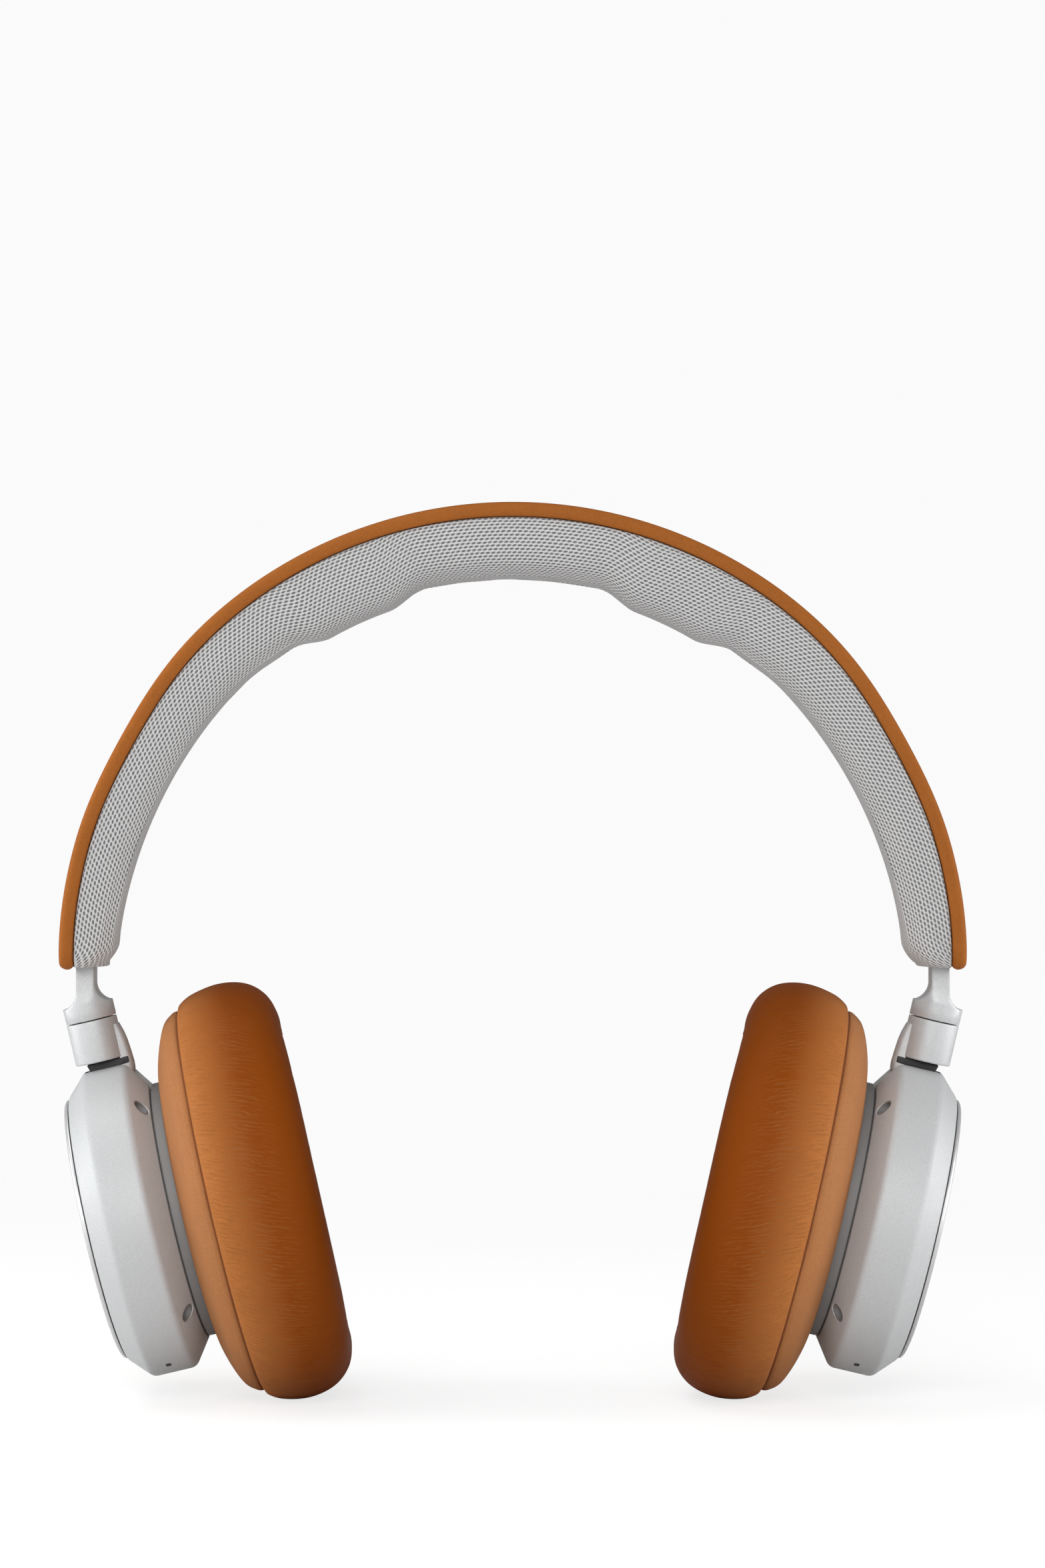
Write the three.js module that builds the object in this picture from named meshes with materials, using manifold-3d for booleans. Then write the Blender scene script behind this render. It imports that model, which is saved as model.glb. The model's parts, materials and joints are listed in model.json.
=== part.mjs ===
// Over ear headphones: a leather and knit headband, two sliding aluminium arms, and two ear cups that
// swivel and tilt. Millimetres, +Z up, the front towards -Y. The pieces named left are at -X.
// The origin is on the floor, midway between the two ear cushions that the headphones stand on.
import * as THREE from "three";
import { mergeVertices } from "three/addons/utils/BufferGeometryUtils.js";
import Module from "manifold-3d";

const wasm = await Module();
wasm.setup();

// Driving dimensions
const GAP = 0.3; // clearance between pieces that rest on each other
const BAND_RADIUS = 97.5; // outside of the leather at its ends: the headphones are 195 mm wide
const BAND_CENTRE_Z = 95.95; // centre of the arch
const BAND_END_DROP = 3.3; // the leather runs this far below the centre of the arch
const BAND_HALF_WIDTH_TOP = 17.2;
const BAND_HALF_WIDTH_END = 12.6;
// Depths below the outside of the leather
const LEATHER_WALL = 1.7;
const RIM_DEPTH = 3.05; // the rolled rims, front and back
const PAD_DEPTH = 3.4;
const SPRING_DEPTH = 2.9;
const SPRING_THICKNESS = 0.9;
const RIBBON_THICKNESS = 0.6;

const CUP_X = 85.05; // the cup's reference point: on its axis, at the edge between bevel and drum
const CUP_Z = 37.35;
const CUP_TILT = THREE.MathUtils.degToRad(13.2);
const DRUM_RADIUS = 33.8;
const DRUM_DEPTH = 9.2;
const DISC_RADIUS = 28.6;
const NECK_RADIUS = 27.9;
const SEAM_RADIUS = 42.6;
const CUSHION_RADIUS = 45.65;
const CUSHION_BACK = 23.1; // where the cushion starts, measured from the reference point
const CUSHION_FACE = 43; // where the face that meets the head is
const CUSHION_WEDGE = 0.0565; // the cushion is thicker at the front than at the back, by this slope
const CUSHION_LEAN = 0.009; // and a little thicker at the top
const EAR_HALF_HEIGHT = 27.5;
const EAR_HALF_WIDTH = 20.5;

const SLEEVE_AXIS = 3.94; // how far inward of the reference point the swivel axis runs
const SLEEVE_RADIUS = 5.52;
const SLEEVE_BOTTOM = 35.3;
const SLEEVE_TOP = 44.3;
const KNUCKLE_TOP = 47.9;
const STEM_OUTER = 94.4;
const STEM_INNER = 90.4;
const STEM_HALF_WIDTH = 5;
const PIN_RADIUS = 1.8;
const TILT_AXIS_N = 4.6;
const TILT_AXIS_U = 29.4;
const BRACKET_HALF_WIDTH = 3.0;

const LARGE_RING = 32; // facets round a large ring
const SMALL_RING = 12; // facets round a small pin or boss
const SLIDE_RETRACT = 2; // travel of the arm into the band, from where it stands

const FINISH = {
  leather: { color: 0xb4733f, roughness: 0.6, metalness: 0 },
  cushionLeather: { color: 0xa8682f, roughness: 0.65, metalness: 0 },
  knit: { color: 0xb4b4b4, roughness: 0.9, metalness: 0 },
  aluminium: { color: 0xc8c8c8, roughness: 0.35, metalness: 1 },
  housing: { color: 0xd6d6d6, roughness: 0.5, metalness: 0.2 },
  collar: { color: 0x7d7d7d, roughness: 0.6, metalness: 0 },
  darkPlastic: { color: 0x2b2b2d, roughness: 0.6, metalness: 0 },
  steel: { color: 0x9a9c9e, roughness: 0.3, metalness: 1 },
  rubber: { color: 0x202020, roughness: 0.9, metalness: 0 },
  board: { color: 0x1f4d2e, roughness: 0.5, metalness: 0 },
  cell: { color: 0x8c8f94, roughness: 0.4, metalness: 0.3 },
  film: { color: 0x3a3a3c, roughness: 0.5, metalness: 0 },
  meshCloth: { color: 0x1c1c1e, roughness: 0.95, metalness: 0 },
};

// A geometry as a solid that can be joined and cut.
function solidOf(geometry) {
  const bare = geometry.index ? geometry.toNonIndexed() : geometry.clone();
  bare.deleteAttribute("normal");
  bare.deleteAttribute("uv");
  const merged = mergeVertices(bare, 1e-4);
  return new wasm.Manifold(
    new wasm.Mesh({
      numProp: 3,
      vertProperties: merged.attributes.position.array,
      triVerts: new Uint32Array(merged.index.array),
    }),
  );
}

function geometryOf(solid) {
  const mesh = solid.getMesh();
  const positions = new Float32Array(mesh.numVert * 3);
  for (let i = 0; i < mesh.numVert; i++) {
    positions.set(mesh.vertProperties.subarray(i * mesh.numProp, i * mesh.numProp + 3), i * 3);
  }
  const geometry = new THREE.BufferGeometry();
  geometry.setAttribute("position", new THREE.BufferAttribute(positions, 3));
  geometry.setIndex(new THREE.BufferAttribute(mesh.triVerts, 1));
  geometry.computeVertexNormals();
  return geometry;
}

function joined(...geometries) {
  return geometryOf(geometries.map(solidOf).reduce((a, b) => a.add(b)));
}

function cut(geometry, ...tools) {
  return geometryOf(tools.map(solidOf).reduce((a, b) => a.subtract(b), solidOf(geometry)));
}

function common(geometry, other) {
  return geometryOf(solidOf(geometry).intersect(solidOf(other)));
}

// A ring or disc turned about the local X axis, from a closed outline of [radius, distance along X].
function turned(outline, facets = LARGE_RING) {
  const points = outline.map(([radius, along]) => new THREE.Vector2(radius, along));
  if (THREE.ShapeUtils.area(points) < 0) points.reverse();
  points.push(points[0].clone());
  return new THREE.LatheGeometry(points, facets).rotateZ(-Math.PI / 2);
}

function box(x0, x1, y0, y1, z0, z1) {
  const geometry = new THREE.BoxGeometry(x1 - x0, y1 - y0, z1 - z0);
  return geometry.translate((x0 + x1) / 2, (y0 + y1) / 2, (z0 + z1) / 2);
}

// A plate with its outline in the XZ plane, extruded along Y between two values.
function plate(outline, y0, y1) {
  const shape = new THREE.Shape(outline.map(([x, z]) => new THREE.Vector2(x, z)));
  const geometry = new THREE.ExtrudeGeometry(shape, { depth: y1 - y0, bevelEnabled: false });
  return geometry.rotateX(Math.PI / 2).translate(0, y1, 0);
}

// Round bars along each of the three local axes, from one end to the other.
function barX(radius, y, z, x0, x1) {
  const bar = new THREE.CylinderGeometry(radius, radius, x1 - x0, SMALL_RING);
  return bar.rotateZ(Math.PI / 2).translate((x0 + x1) / 2, y, z);
}

function barY(radius, x, z, y0, y1) {
  const bar = new THREE.CylinderGeometry(radius, radius, y1 - y0, SMALL_RING);
  return bar.translate(x, (y0 + y1) / 2, z);
}

function barZ(radius, x, y, z0, z1) {
  const bar = new THREE.CylinderGeometry(radius, radius, z1 - z0, SMALL_RING);
  return bar.rotateX(Math.PI / 2).translate(x, y, (z0 + z1) / 2);
}

// 0 up to one value and 1 past the other, with a soft step between them; they may run either way.
function smooth(from, to, value) {
  const share = THREE.MathUtils.clamp((value - from) / (to - from), 0, 1);
  return share * share * (3 - 2 * share);
}

function add(group, name, geometry, finish) {
  const mesh = new THREE.Mesh(geometry, new THREE.MeshStandardMaterial(finish));
  mesh.name = name;
  group.add(mesh);
}

// ---- The headband ----

// Half the band's width where the arch stands at an angle from its left end, in degrees.
function bandHalfWidth(degrees) {
  const rise = Math.max(0, Math.sin(THREE.MathUtils.degToRad(degrees)));
  return THREE.MathUtils.lerp(BAND_HALF_WIDTH_END, BAND_HALF_WIDTH_TOP, rise ** 1.5);
}

// Radius of the outside of the leather: nearly round, a little flatter where each side turns down.
function bandRadius(degrees) {
  const fromEnd = 90 - Math.abs(degrees - 90);
  const flat = 0.95 * Math.exp(-(((fromEnd - 29) / 11) ** 2));
  const flare = 0.3 * smooth(14, 0, fromEnd);
  return BAND_RADIUS - 0.3 - flat + flare;
}

// Inner radius of the padding: a shallow crown recess, a thick lobe each side of it, even sides and
// rounded ends.
function padInnerRadius(degrees) {
  const fromTop = Math.abs(degrees - 90);
  const crown = 80.65 + 0.35 * Math.min(1, fromTop / 14) ** 2;
  const lobe = THREE.MathUtils.lerp(crown, 78.2, smooth(13, 20, fromTop));
  const side = THREE.MathUtils.lerp(lobe, 81.7, smooth(30, 42, fromTop));
  const taper = 3 * Math.max(0, (fromTop - 50) / 38) ** 2;
  return side + taper + 4 * smooth(88.5, 92, fromTop);
}

// A solid swept along the arch. section(degrees) gives a closed outline of [radius, y], anticlockwise.
function archSweep(section, fromDegrees, toDegrees, steps) {
  const positions = [];
  const indices = [];
  const count = section(90).length;
  for (let i = 0; i <= steps; i++) {
    const degrees = THREE.MathUtils.lerp(fromDegrees, toDegrees, i / steps);
    const angle = THREE.MathUtils.degToRad(degrees);
    for (const [radius, y] of section(degrees)) {
      positions.push(-radius * Math.cos(angle), y, BAND_CENTRE_Z + radius * Math.sin(angle));
    }
  }
  for (let i = 0; i < steps; i++) {
    for (let j = 0; j < count; j++) {
      const a = i * count + j;
      const b = i * count + ((j + 1) % count);
      indices.push(a, a + count, b, b, a + count, b + count);
    }
  }
  const capOf = (degrees) =>
    THREE.ShapeUtils.triangulateShape(
      section(degrees).map(([radius, y]) => new THREE.Vector2(radius, y)),
      [],
    );
  for (const [a, b, c] of capOf(fromDegrees)) indices.push(a, b, c);
  const last = steps * count;
  for (const [a, b, c] of capOf(toDegrees)) indices.push(last + a, last + c, last + b);
  const geometry = new THREE.BufferGeometry();
  geometry.setAttribute("position", new THREE.Float32BufferAttribute(positions, 3));
  geometry.setIndex(indices);
  geometry.computeVertexNormals();
  return geometry;
}

const BAND_END_DEGREES = THREE.MathUtils.radToDeg(Math.asin(BAND_END_DROP / BAND_RADIUS));

// Leather on the outside and round both edges, as a shallow channel.
function leatherSection(degrees) {
  const half = bandHalfWidth(degrees);
  const outer = bandRadius(degrees);
  const rim = [
    [outer - RIM_DEPTH, half - 1.7],
    [outer - LEATHER_WALL, half - 1.9],
  ];
  const edge = [
    [outer, half - 1.6],
    [outer - 1.1, half - 0.3],
    [outer - 2.1, half],
    [outer - RIM_DEPTH, half - 0.6],
  ];
  const mirrored = (points) => points.map(([radius, y]) => [radius, -y]);
  return [
    ...mirrored(edge).reverse(),
    ...edge,
    ...rim,
    ...mirrored(rim).reverse(),
  ];
}

function padSection(degrees) {
  const half = bandHalfWidth(degrees);
  const inner = padInnerRadius(degrees);
  const outer = bandRadius(degrees) - PAD_DEPTH;
  const flank = [
    [outer, half - 1.2],
    [outer - 5, half - 0.6],
    [inner + 3.5, half - 1.3],
    [inner + 0.8, half - 4],
    [inner, half - 8],
  ];
  const mirrored = flank.map(([radius, y]) => [radius, -y]).reverse();
  return [...mirrored, ...flank];
}

// A flat strip under the leather, between two values of y that follow the band's half width.
function stripSection(thickness, fromEdge, toEdge) {
  return (degrees) => {
    const half = bandHalfWidth(degrees);
    const radius = bandRadius(degrees) - SPRING_DEPTH;
    return [
      [radius + thickness, fromEdge(half)],
      [radius + thickness, toEdge(half)],
      [radius, toEdge(half)],
      [radius, fromEdge(half)],
    ];
  };
}

// The pocket in each end of the padding, where the slider guide sits and the arm runs.
const POCKET_TOP_Z = BAND_CENTRE_Z + 31;
const POCKET_HALF_WIDTH = 7;
const POCKET_INNER_X = 86.2;

function padPocket(sign) {
  const x0 = Math.min(sign * POCKET_INNER_X, sign * BAND_RADIUS);
  const x1 = Math.max(sign * POCKET_INNER_X, sign * BAND_RADIUS);
  return box(x0, x1, -POCKET_HALF_WIDTH, POCKET_HALF_WIDTH, 80, POCKET_TOP_Z);
}

function headband() {
  const group = new THREE.Group();
  const from = -BAND_END_DEGREES;
  const to = 180 + BAND_END_DEGREES;
  add(group, "headband_cover", archSweep(leatherSection, from, to, 44), FINISH.leather);
  const pad = archSweep(padSection, -1.7, 181.7, 52);
  add(group, "headband_pad", cut(pad, padPocket(-1), padPocket(1)), FINISH.knit);
  const spring = stripSection(SPRING_THICKNESS, (w) => 8.5 - w, (w) => w - 8.5);
  add(group, "headband_spring", archSweep(spring, 20, 160, 28), FINISH.steel);
  const ribbon = stripSection(RIBBON_THICKNESS, (w) => w - 7.6, (w) => w - 5.4);
  add(group, "headband_ribbon_lead", archSweep(ribbon, 20, 160, 28), FINISH.rubber);
  return group;
}

// ---- The arm side: everything from here to the cup is drawn on the -X side and mirrored ----

// A point of the cup's own frame (n inward along the ear axis, u up along the cup) as [x, z].
function fromCup(n, u) {
  return [
    -CUP_X + n * Math.cos(CUP_TILT) - u * Math.sin(CUP_TILT),
    CUP_Z + n * Math.sin(CUP_TILT) + u * Math.cos(CUP_TILT),
  ];
}

// A geometry drawn in the cup's own frame, moved to where the cup is.
function placedAsCup(geometry) {
  return geometry.rotateY(-CUP_TILT).translate(-CUP_X, 0, CUP_Z);
}

// An arc of [x, z] points about a centre, angles in radians.
function arc(centre, radius, from, to, steps) {
  const points = [];
  for (let i = 0; i <= steps; i++) {
    const angle = THREE.MathUtils.lerp(from, to, i / steps);
    points.push([centre[0] + radius * Math.cos(angle), centre[1] + radius * Math.sin(angle)]);
  }
  return points;
}

// The arm in side view: a round knuckle, a scoop each side, and a stem that curves with the band.
function armOutline() {
  const outerScoop = 4;
  const innerScoop = 3.6;
  const bottom = SLEEVE_TOP + GAP;
  const tipOuter = fromCup(SLEEVE_AXIS - SLEEVE_RADIUS, KNUCKLE_TOP);
  const tipInner = fromCup(SLEEVE_AXIS + SLEEVE_RADIUS, KNUCKLE_TOP);
  const outerX = -STEM_OUTER - outerScoop;
  const innerX = -STEM_INNER + innerScoop;
  const outerZ = tipOuter[1] + Math.sqrt(outerScoop ** 2 - (tipOuter[0] - outerX) ** 2);
  const innerZ = tipInner[1] + Math.sqrt(innerScoop ** 2 - (tipInner[0] - innerX) ** 2);
  const outerEnd = Math.atan2(tipOuter[1] - outerZ, tipOuter[0] - outerX);
  const innerStart = Math.atan2(tipInner[1] - innerZ, tipInner[0] - innerX) + 2 * Math.PI;
  const z = (height) => BAND_CENTRE_Z + height;
  return [
    fromCup(SLEEVE_AXIS - SLEEVE_RADIUS, bottom),
    fromCup(SLEEVE_AXIS + SLEEVE_RADIUS, bottom),
    ...arc([innerX, innerZ], innerScoop, innerStart, Math.PI, 5),
    [-STEM_INNER, z(0)],
    [-STEM_INNER + 0.2, z(8)],
    [-STEM_INNER + 1.1, z(18)],
    [-STEM_INNER + 2.8, z(27)],
    [-STEM_OUTER + 4.2, z(27)],
    [-STEM_OUTER + 3.2, z(24)],
    [-STEM_OUTER + 1.1, z(16)],
    [-STEM_OUTER + 0.2, z(8)],
    [-STEM_OUTER, z(0)],
    ...arc([outerX, outerZ], outerScoop, 0, outerEnd, 5),
  ];
}

function arm() {
  const blank = plate(armOutline(), -SLEEVE_RADIUS, SLEEVE_RADIUS);
  const round = placedAsCup(barZ(SLEEVE_RADIUS, SLEEVE_AXIS, 0, SLEEVE_TOP, KNUCKLE_TOP + 3));
  const flat = box(-100, -80, -STEM_HALF_WIDTH, STEM_HALF_WIDTH, BAND_CENTRE_Z - 9.5, 140);
  const pinHole = placedAsCup(barZ(PIN_RADIUS + GAP, SLEEVE_AXIS, 0, SLEEVE_TOP - 1, KNUCKLE_TOP));
  return cut(common(blank, joined(round, flat)), pinHole);
}

// A channel, open towards the leather, that the stem runs in.
function sliderGuide() {
  const z = (height) => BAND_CENTRE_Z + height;
  const outline = [
    [-95, z(0.4)],
    [-86.5, z(0.4)],
    [-86.5, z(30)],
    [-89.8, z(30)],
    [-92.8, z(20)],
    [-94.6, z(10)],
  ];
  const inside = STEM_HALF_WIDTH + GAP;
  const channel = box(-98, -87.3, -inside, inside, z(-3), z(27 + SLIDE_RETRACT + GAP));
  const padWindow = box(-93.3, -88.7, inside - 1, 8, z(1.7), z(10.3));
  return cut(plate(outline, -6.7, 6.7), channel, padWindow);
}

function frictionPad() {
  const inside = STEM_HALF_WIDTH + GAP;
  return box(-93, -89, inside, 6.6, BAND_CENTRE_Z + 2, BAND_CENTRE_Z + 10);
}

function swivelSleeve() {
  const body = barZ(SLEEVE_RADIUS, SLEEVE_AXIS, 0, SLEEVE_BOTTOM, SLEEVE_TOP);
  const bore = barZ(PIN_RADIUS + GAP, SLEEVE_AXIS, 0, SLEEVE_BOTTOM - 1, SLEEVE_TOP + 1);
  const washerRoom = barZ(4.3, SLEEVE_AXIS, 0, SLEEVE_BOTTOM - 1, SLEEVE_BOTTOM + 2.9);
  return cut(body, bore, washerRoom);
}

function retainingWasher() {
  const low = SLEEVE_BOTTOM + 1.6;
  const ring = barZ(3.9, SLEEVE_AXIS, 0, low, low + 1);
  return cut(ring, barZ(PIN_RADIUS + GAP, SLEEVE_AXIS, 0, low - 1, low + 2));
}

// A lug that hangs under the sleeve on the tilt pin, and a fin that runs up the sleeve's inner side.
function hingeBracket() {
  const finStart = SLEEVE_AXIS + SLEEVE_RADIUS + GAP;
  const outline = [
    [1.4, 25.8],
    [7.8, 25.8],
    [7.8, 32.6],
    [11, 32.9],
    [11, 33.6],
    [10.6, 38.7],
    [9.95, 42.5],
    [finStart, 42.5],
    [finStart, SLEEVE_BOTTOM - GAP],
    [1.4, SLEEVE_BOTTOM - GAP],
  ];
  const body = plate(outline, -BRACKET_HALF_WIDTH, BRACKET_HALF_WIDTH);
  return cut(body, barY(PIN_RADIUS - 0.1, TILT_AXIS_N, TILT_AXIS_U, -5, 5));
}

// ---- The cup, in its own frame: X inward along the ear axis, Z up along the cup ----

// A piece drawn at the top of the cup, turned about the ear axis. Positive turns go towards the front.
function turnedRound(geometry, degrees) {
  return geometry.rotateX(THREE.MathUtils.degToRad(degrees));
}

const SCREW_TURNS = [36.5, 131.4, -36.5, -131.4];
const SCREW_RING_RADIUS = 30.3;
const MICROPHONE_TURN = 156;
const CHARGING_TURN = -152;
const AUDIO_TURN = -174;
const HALF_DRUM = DRUM_DEPTH / 2;

function outerShell(isRight) {
  const shell = turned([
    [27.2, -4.4],
    [29.2, -4.4],
    [DRUM_RADIUS, 0],
    [DRUM_RADIUS, DRUM_DEPTH],
    [DRUM_RADIUS - 0.5, DRUM_DEPTH + 1],
    [28.2, 13.2],
    [26.9, 13.2],
    [26.9, 11.9],
    [32.2, 8.6],
    [32.2, 0.8],
    [28.4, -2.8],
    [27.2, -2.8],
  ]);
  const additions = SCREW_TURNS.map((turn) =>
    turnedRound(barX(2.6, 0, SCREW_RING_RADIUS - 0.2, 5, 10.4), turn),
  );
  additions.push(box(1, 8.2, -6.4, -3.4, 26, 32.4), box(1, 8.2, 3.4, 6.4, 26, 32.4));
  const slot = BRACKET_HALF_WIDTH + 0.4;
  const cuts = SCREW_TURNS.flatMap((turn) => [
    turnedRound(barX(1.65, 0, SCREW_RING_RADIUS, 9.4, 15), turn),
    turnedRound(barX(1.15, 0, SCREW_RING_RADIUS, 4, 10), turn),
  ]);
  cuts.push(box(0.2, 14, -slot, slot, 24.8, 36));
  cuts.push(barY(PIN_RADIUS - 0.1, TILT_AXIS_N, TILT_AXIS_U, -8, 8));
  cuts.push(turnedRound(barZ(0.6, 4.4, 0, 30, 36), MICROPHONE_TURN));
  if (isRight) {
    cuts.push(box(HALF_DRUM - 1.5, HALF_DRUM + 1.5, 28, 36, -5.2, 5.2));
    cuts.push(turnedRound(box(HALF_DRUM - 1.9, HALF_DRUM + 1.9, -4.9, 4.9, 28, 36), CHARGING_TURN));
    cuts.push(turnedRound(barZ(3.3, HALF_DRUM, 0, 28, 36), AUDIO_TURN));
  } else {
    cuts.push(box(HALF_DRUM - 2.1, HALF_DRUM + 2.1, 28, 36, -6.3, 6.3));
  }
  return cut(joined(shell, ...additions), ...cuts);
}

function touchDisc() {
  return turned([
    [0, -5.6],
    [27.9, -5.6],
    [DISC_RADIUS, -5.2],
    [DISC_RADIUS, -4.7],
    [26.8, -4.7],
    [26.8, -3.4],
    [0, -3.4],
  ]);
}

function collarRing() {
  return turned([
    [26.6, 11],
    [26.6, 13.5],
    [NECK_RADIUS, 13.5],
    [NECK_RADIUS, 16.1],
    [25, 16.1],
    [25, 11],
  ]);
}

function driverBasket() {
  const facets = 20;
  return turned(
    [
      [3, 10.9],
      [11, 10.9],
      [19.8, 13.9],
      [21, 13.9],
      [21, 15.2],
      [19.2, 15.2],
      [10.6, 12.1],
      [3, 12.1],
    ],
    facets,
  );
}

function diaphragm() {
  const facets = 20;
  return turned(
    [
      [0, 13.2],
      [6, 14.6],
      [18.6, 15.6],
      [20.6, 15.6],
      [20.6, 16],
      [18.4, 16.1],
      [6, 15.1],
      [0, 13.8],
    ],
    facets,
  );
}

function baffle() {
  return turned([
    [17, 16.4],
    [26.6, 16.4],
    [26.6, 17.8],
    [17, 17.8],
  ]);
}

function cushionSkirt() {
  return turned([
    [28.3, 15.5],
    [32.5, 16.4],
    [36.7, 17.7],
    [40.6, 19.9],
    [42.2, 22],
    [SEAM_RADIUS, 22.7],
    [41.2, 22.7],
    [39.8, 20.9],
    [36.2, 18.9],
    [32.2, 17.6],
    [28.3, 16.7],
  ]);
}

function padFrame() {
  return turned([
    [22, 18.2],
    [32, 18.2],
    [36, 19.5],
    [39.2, 21.4],
    [39.8, 22.8],
    [22, 22.8],
  ]);
}

// An upright oval disc or cone about the ear axis, with the ear opening's proportions.
function oval(halfHeightBack, halfHeightFace, from, to) {
  const plug = turned(
    [
      [0, from],
      [halfHeightBack, from],
      [halfHeightFace, to],
      [0, to],
    ],
    32,
  );
  return plug.scale(1, EAR_HALF_WIDTH / EAR_HALF_HEIGHT, 1);
}

function acousticMesh() {
  return oval(EAR_HALF_HEIGHT - 1, EAR_HALF_HEIGHT - 1, 23.1, 23.6);
}

// The cushion is drawn with parallel faces, then its front face is slanted.
function wedged(geometry) {
  const position = geometry.attributes.position;
  for (let i = 0; i < position.count; i++) {
    const depth = Math.max(0, position.getX(i) - CUSHION_BACK) / (CUSHION_FACE - CUSHION_BACK);
    const slant = CUSHION_LEAN * position.getZ(i) - CUSHION_WEDGE * position.getY(i);
    position.setX(i, position.getX(i) + depth * slant);
  }
  return geometry;
}

// The cushion: a plump ring with an oval ear opening, flattened where it stands on the floor.
function earCushion(cupMatrix) {
  const ring = turned([
    [0, CUSHION_BACK],
    [42, CUSHION_BACK],
    [43.6, 23.6],
    [44.7, 25.4],
    [45.3, 28.5],
    [CUSHION_RADIUS, 32.5],
    [45.1, 36.3],
    [43.6, 39.3],
    [41.2, 41.6],
    [37, CUSHION_FACE],
    [0, CUSHION_FACE],
  ]);
  const opening = oval(EAR_HALF_HEIGHT, EAR_HALF_HEIGHT, 20, 50);
  const mouth = oval(EAR_HALF_HEIGHT, EAR_HALF_HEIGHT + 4, 38, CUSHION_FACE + 1);
  const floor = box(-200, 200, -100, 100, -50, 0).applyMatrix4(cupMatrix.clone().invert());
  return cut(wedged(cut(ring, opening, mouth)), floor);
}

function screw(turn) {
  const head = barX(1.35, 0, SCREW_RING_RADIUS, 9.7, 10.8);
  const shank = barX(0.85, 0, SCREW_RING_RADIUS, 5, 9.8);
  return turnedRound(joined(head, shank), turn);
}

function chargingSocket() {
  const body = box(HALF_DRUM - 1.6, HALF_DRUM + 1.6, -4.6, 4.6, 26.5, 33.2);
  const mouth = box(HALF_DRUM - 1.2, HALF_DRUM + 1.2, -4.2, 4.2, 28, 34);
  return turnedRound(cut(body, mouth), CHARGING_TURN);
}

function audioSocket() {
  const body = barZ(3, HALF_DRUM, 0, 24, 33.4);
  return turnedRound(cut(body, barZ(1.8, HALF_DRUM, 0, 25, 34)), AUDIO_TURN);
}

function earCup(side) {
  const isRight = side === "right";
  const cup = new THREE.Group();
  cup.position.set(-CUP_X, 0, CUP_Z);
  cup.rotation.y = -CUP_TILT;
  cup.updateMatrix();
  const put = (name, geometry, finish) => add(cup, `${side}_${name}`, geometry, finish);
  put("swivel_sleeve", swivelSleeve(), FINISH.aluminium);
  put("hinge_bracket", hingeBracket(), FINISH.housing);
  put("swivel_pin", barZ(PIN_RADIUS, SLEEVE_AXIS, 0, SLEEVE_BOTTOM + 1.1, KNUCKLE_TOP - GAP), FINISH.steel);
  put("retaining_washer", retainingWasher(), FINISH.steel);
  put("tilt_pin", barY(PIN_RADIUS - 0.4, TILT_AXIS_N, TILT_AXIS_U, -6, 6), FINISH.steel);
  put("cup_housing", outerShell(isRight), FINISH.housing);
  put("touch_disc", touchDisc(), FINISH.aluminium);
  put("collar", collarRing(), FINISH.collar);
  put("circuit_board", turned([[0, -2.4], [21, -2.4], [21, -1.2], [0, -1.2]], 20), FINISH.board);
  put("driver_magnet", barX(10.5, 0, 0, 5.2, 10.6), FINISH.steel);
  put("driver_basket", driverBasket(), FINISH.darkPlastic);
  put("diaphragm", diaphragm(), FINISH.film);
  put("baffle", baffle(), FINISH.darkPlastic);
  put("pad_frame", padFrame(), FINISH.darkPlastic);
  put("cushion_skirt", cushionSkirt(), FINISH.leather);
  put("ear_cushion", earCushion(cup.matrix), FINISH.cushionLeather);
  put("acoustic_mesh", acousticMesh(), FINISH.meshCloth);
  put("microphone", turnedRound(barZ(1.6, 4.4, 0, 29, 31.6), MICROPHONE_TURN), FINISH.darkPlastic);
  SCREW_TURNS.forEach((turn, i) => put(`cup_screw_${i + 1}`, screw(turn), FINISH.steel));
  if (isRight) {
    put("battery", box(-0.6, 4.2, -15, 15, -11, 11), FINISH.cell);
    put("charging_socket", chargingSocket(), FINISH.steel);
    put("audio_socket", audioSocket(), FINISH.darkPlastic);
    put("power_switch", box(HALF_DRUM - 1.2, HALF_DRUM + 1.2, 30, 34.5, -4.8, -0.2), FINISH.aluminium);
  } else {
    put("push_button", box(HALF_DRUM - 1.8, HALF_DRUM + 1.8, 30.2, 34.3, -6, 6), FINISH.aluminium);
  }
  return cup;
}

function earSide(side) {
  const group = new THREE.Group();
  add(group, `${side}_slider_guide`, sliderGuide(), FINISH.darkPlastic);
  add(group, `${side}_friction_pad`, frictionPad(), FINISH.rubber);
  add(group, `${side}_arm`, arm(), FINISH.aluminium);
  group.add(earCup(side));
  if (side === "right") group.scale.x = -1;
  return group;
}

const headphones = new THREE.Group();
headphones.add(headband(), earSide("left"), earSide("right"));

export default headphones;
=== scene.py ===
"""The looks of a pair of over ear headphones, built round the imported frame.

Lengths are in millimetres, like the CAD model's, and become metres when a mesh is made. The pieces of
one side are drawn for the cup at -X, named left, and mirrored for the other. In a cup's own frame a
point is (n, y, u): n inward along the ear axis, y towards the back, u up along the cup.
"""

import json
import math

import bmesh
import bpy
import numpy as np
from mathutils import Matrix, Vector, noise

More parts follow.
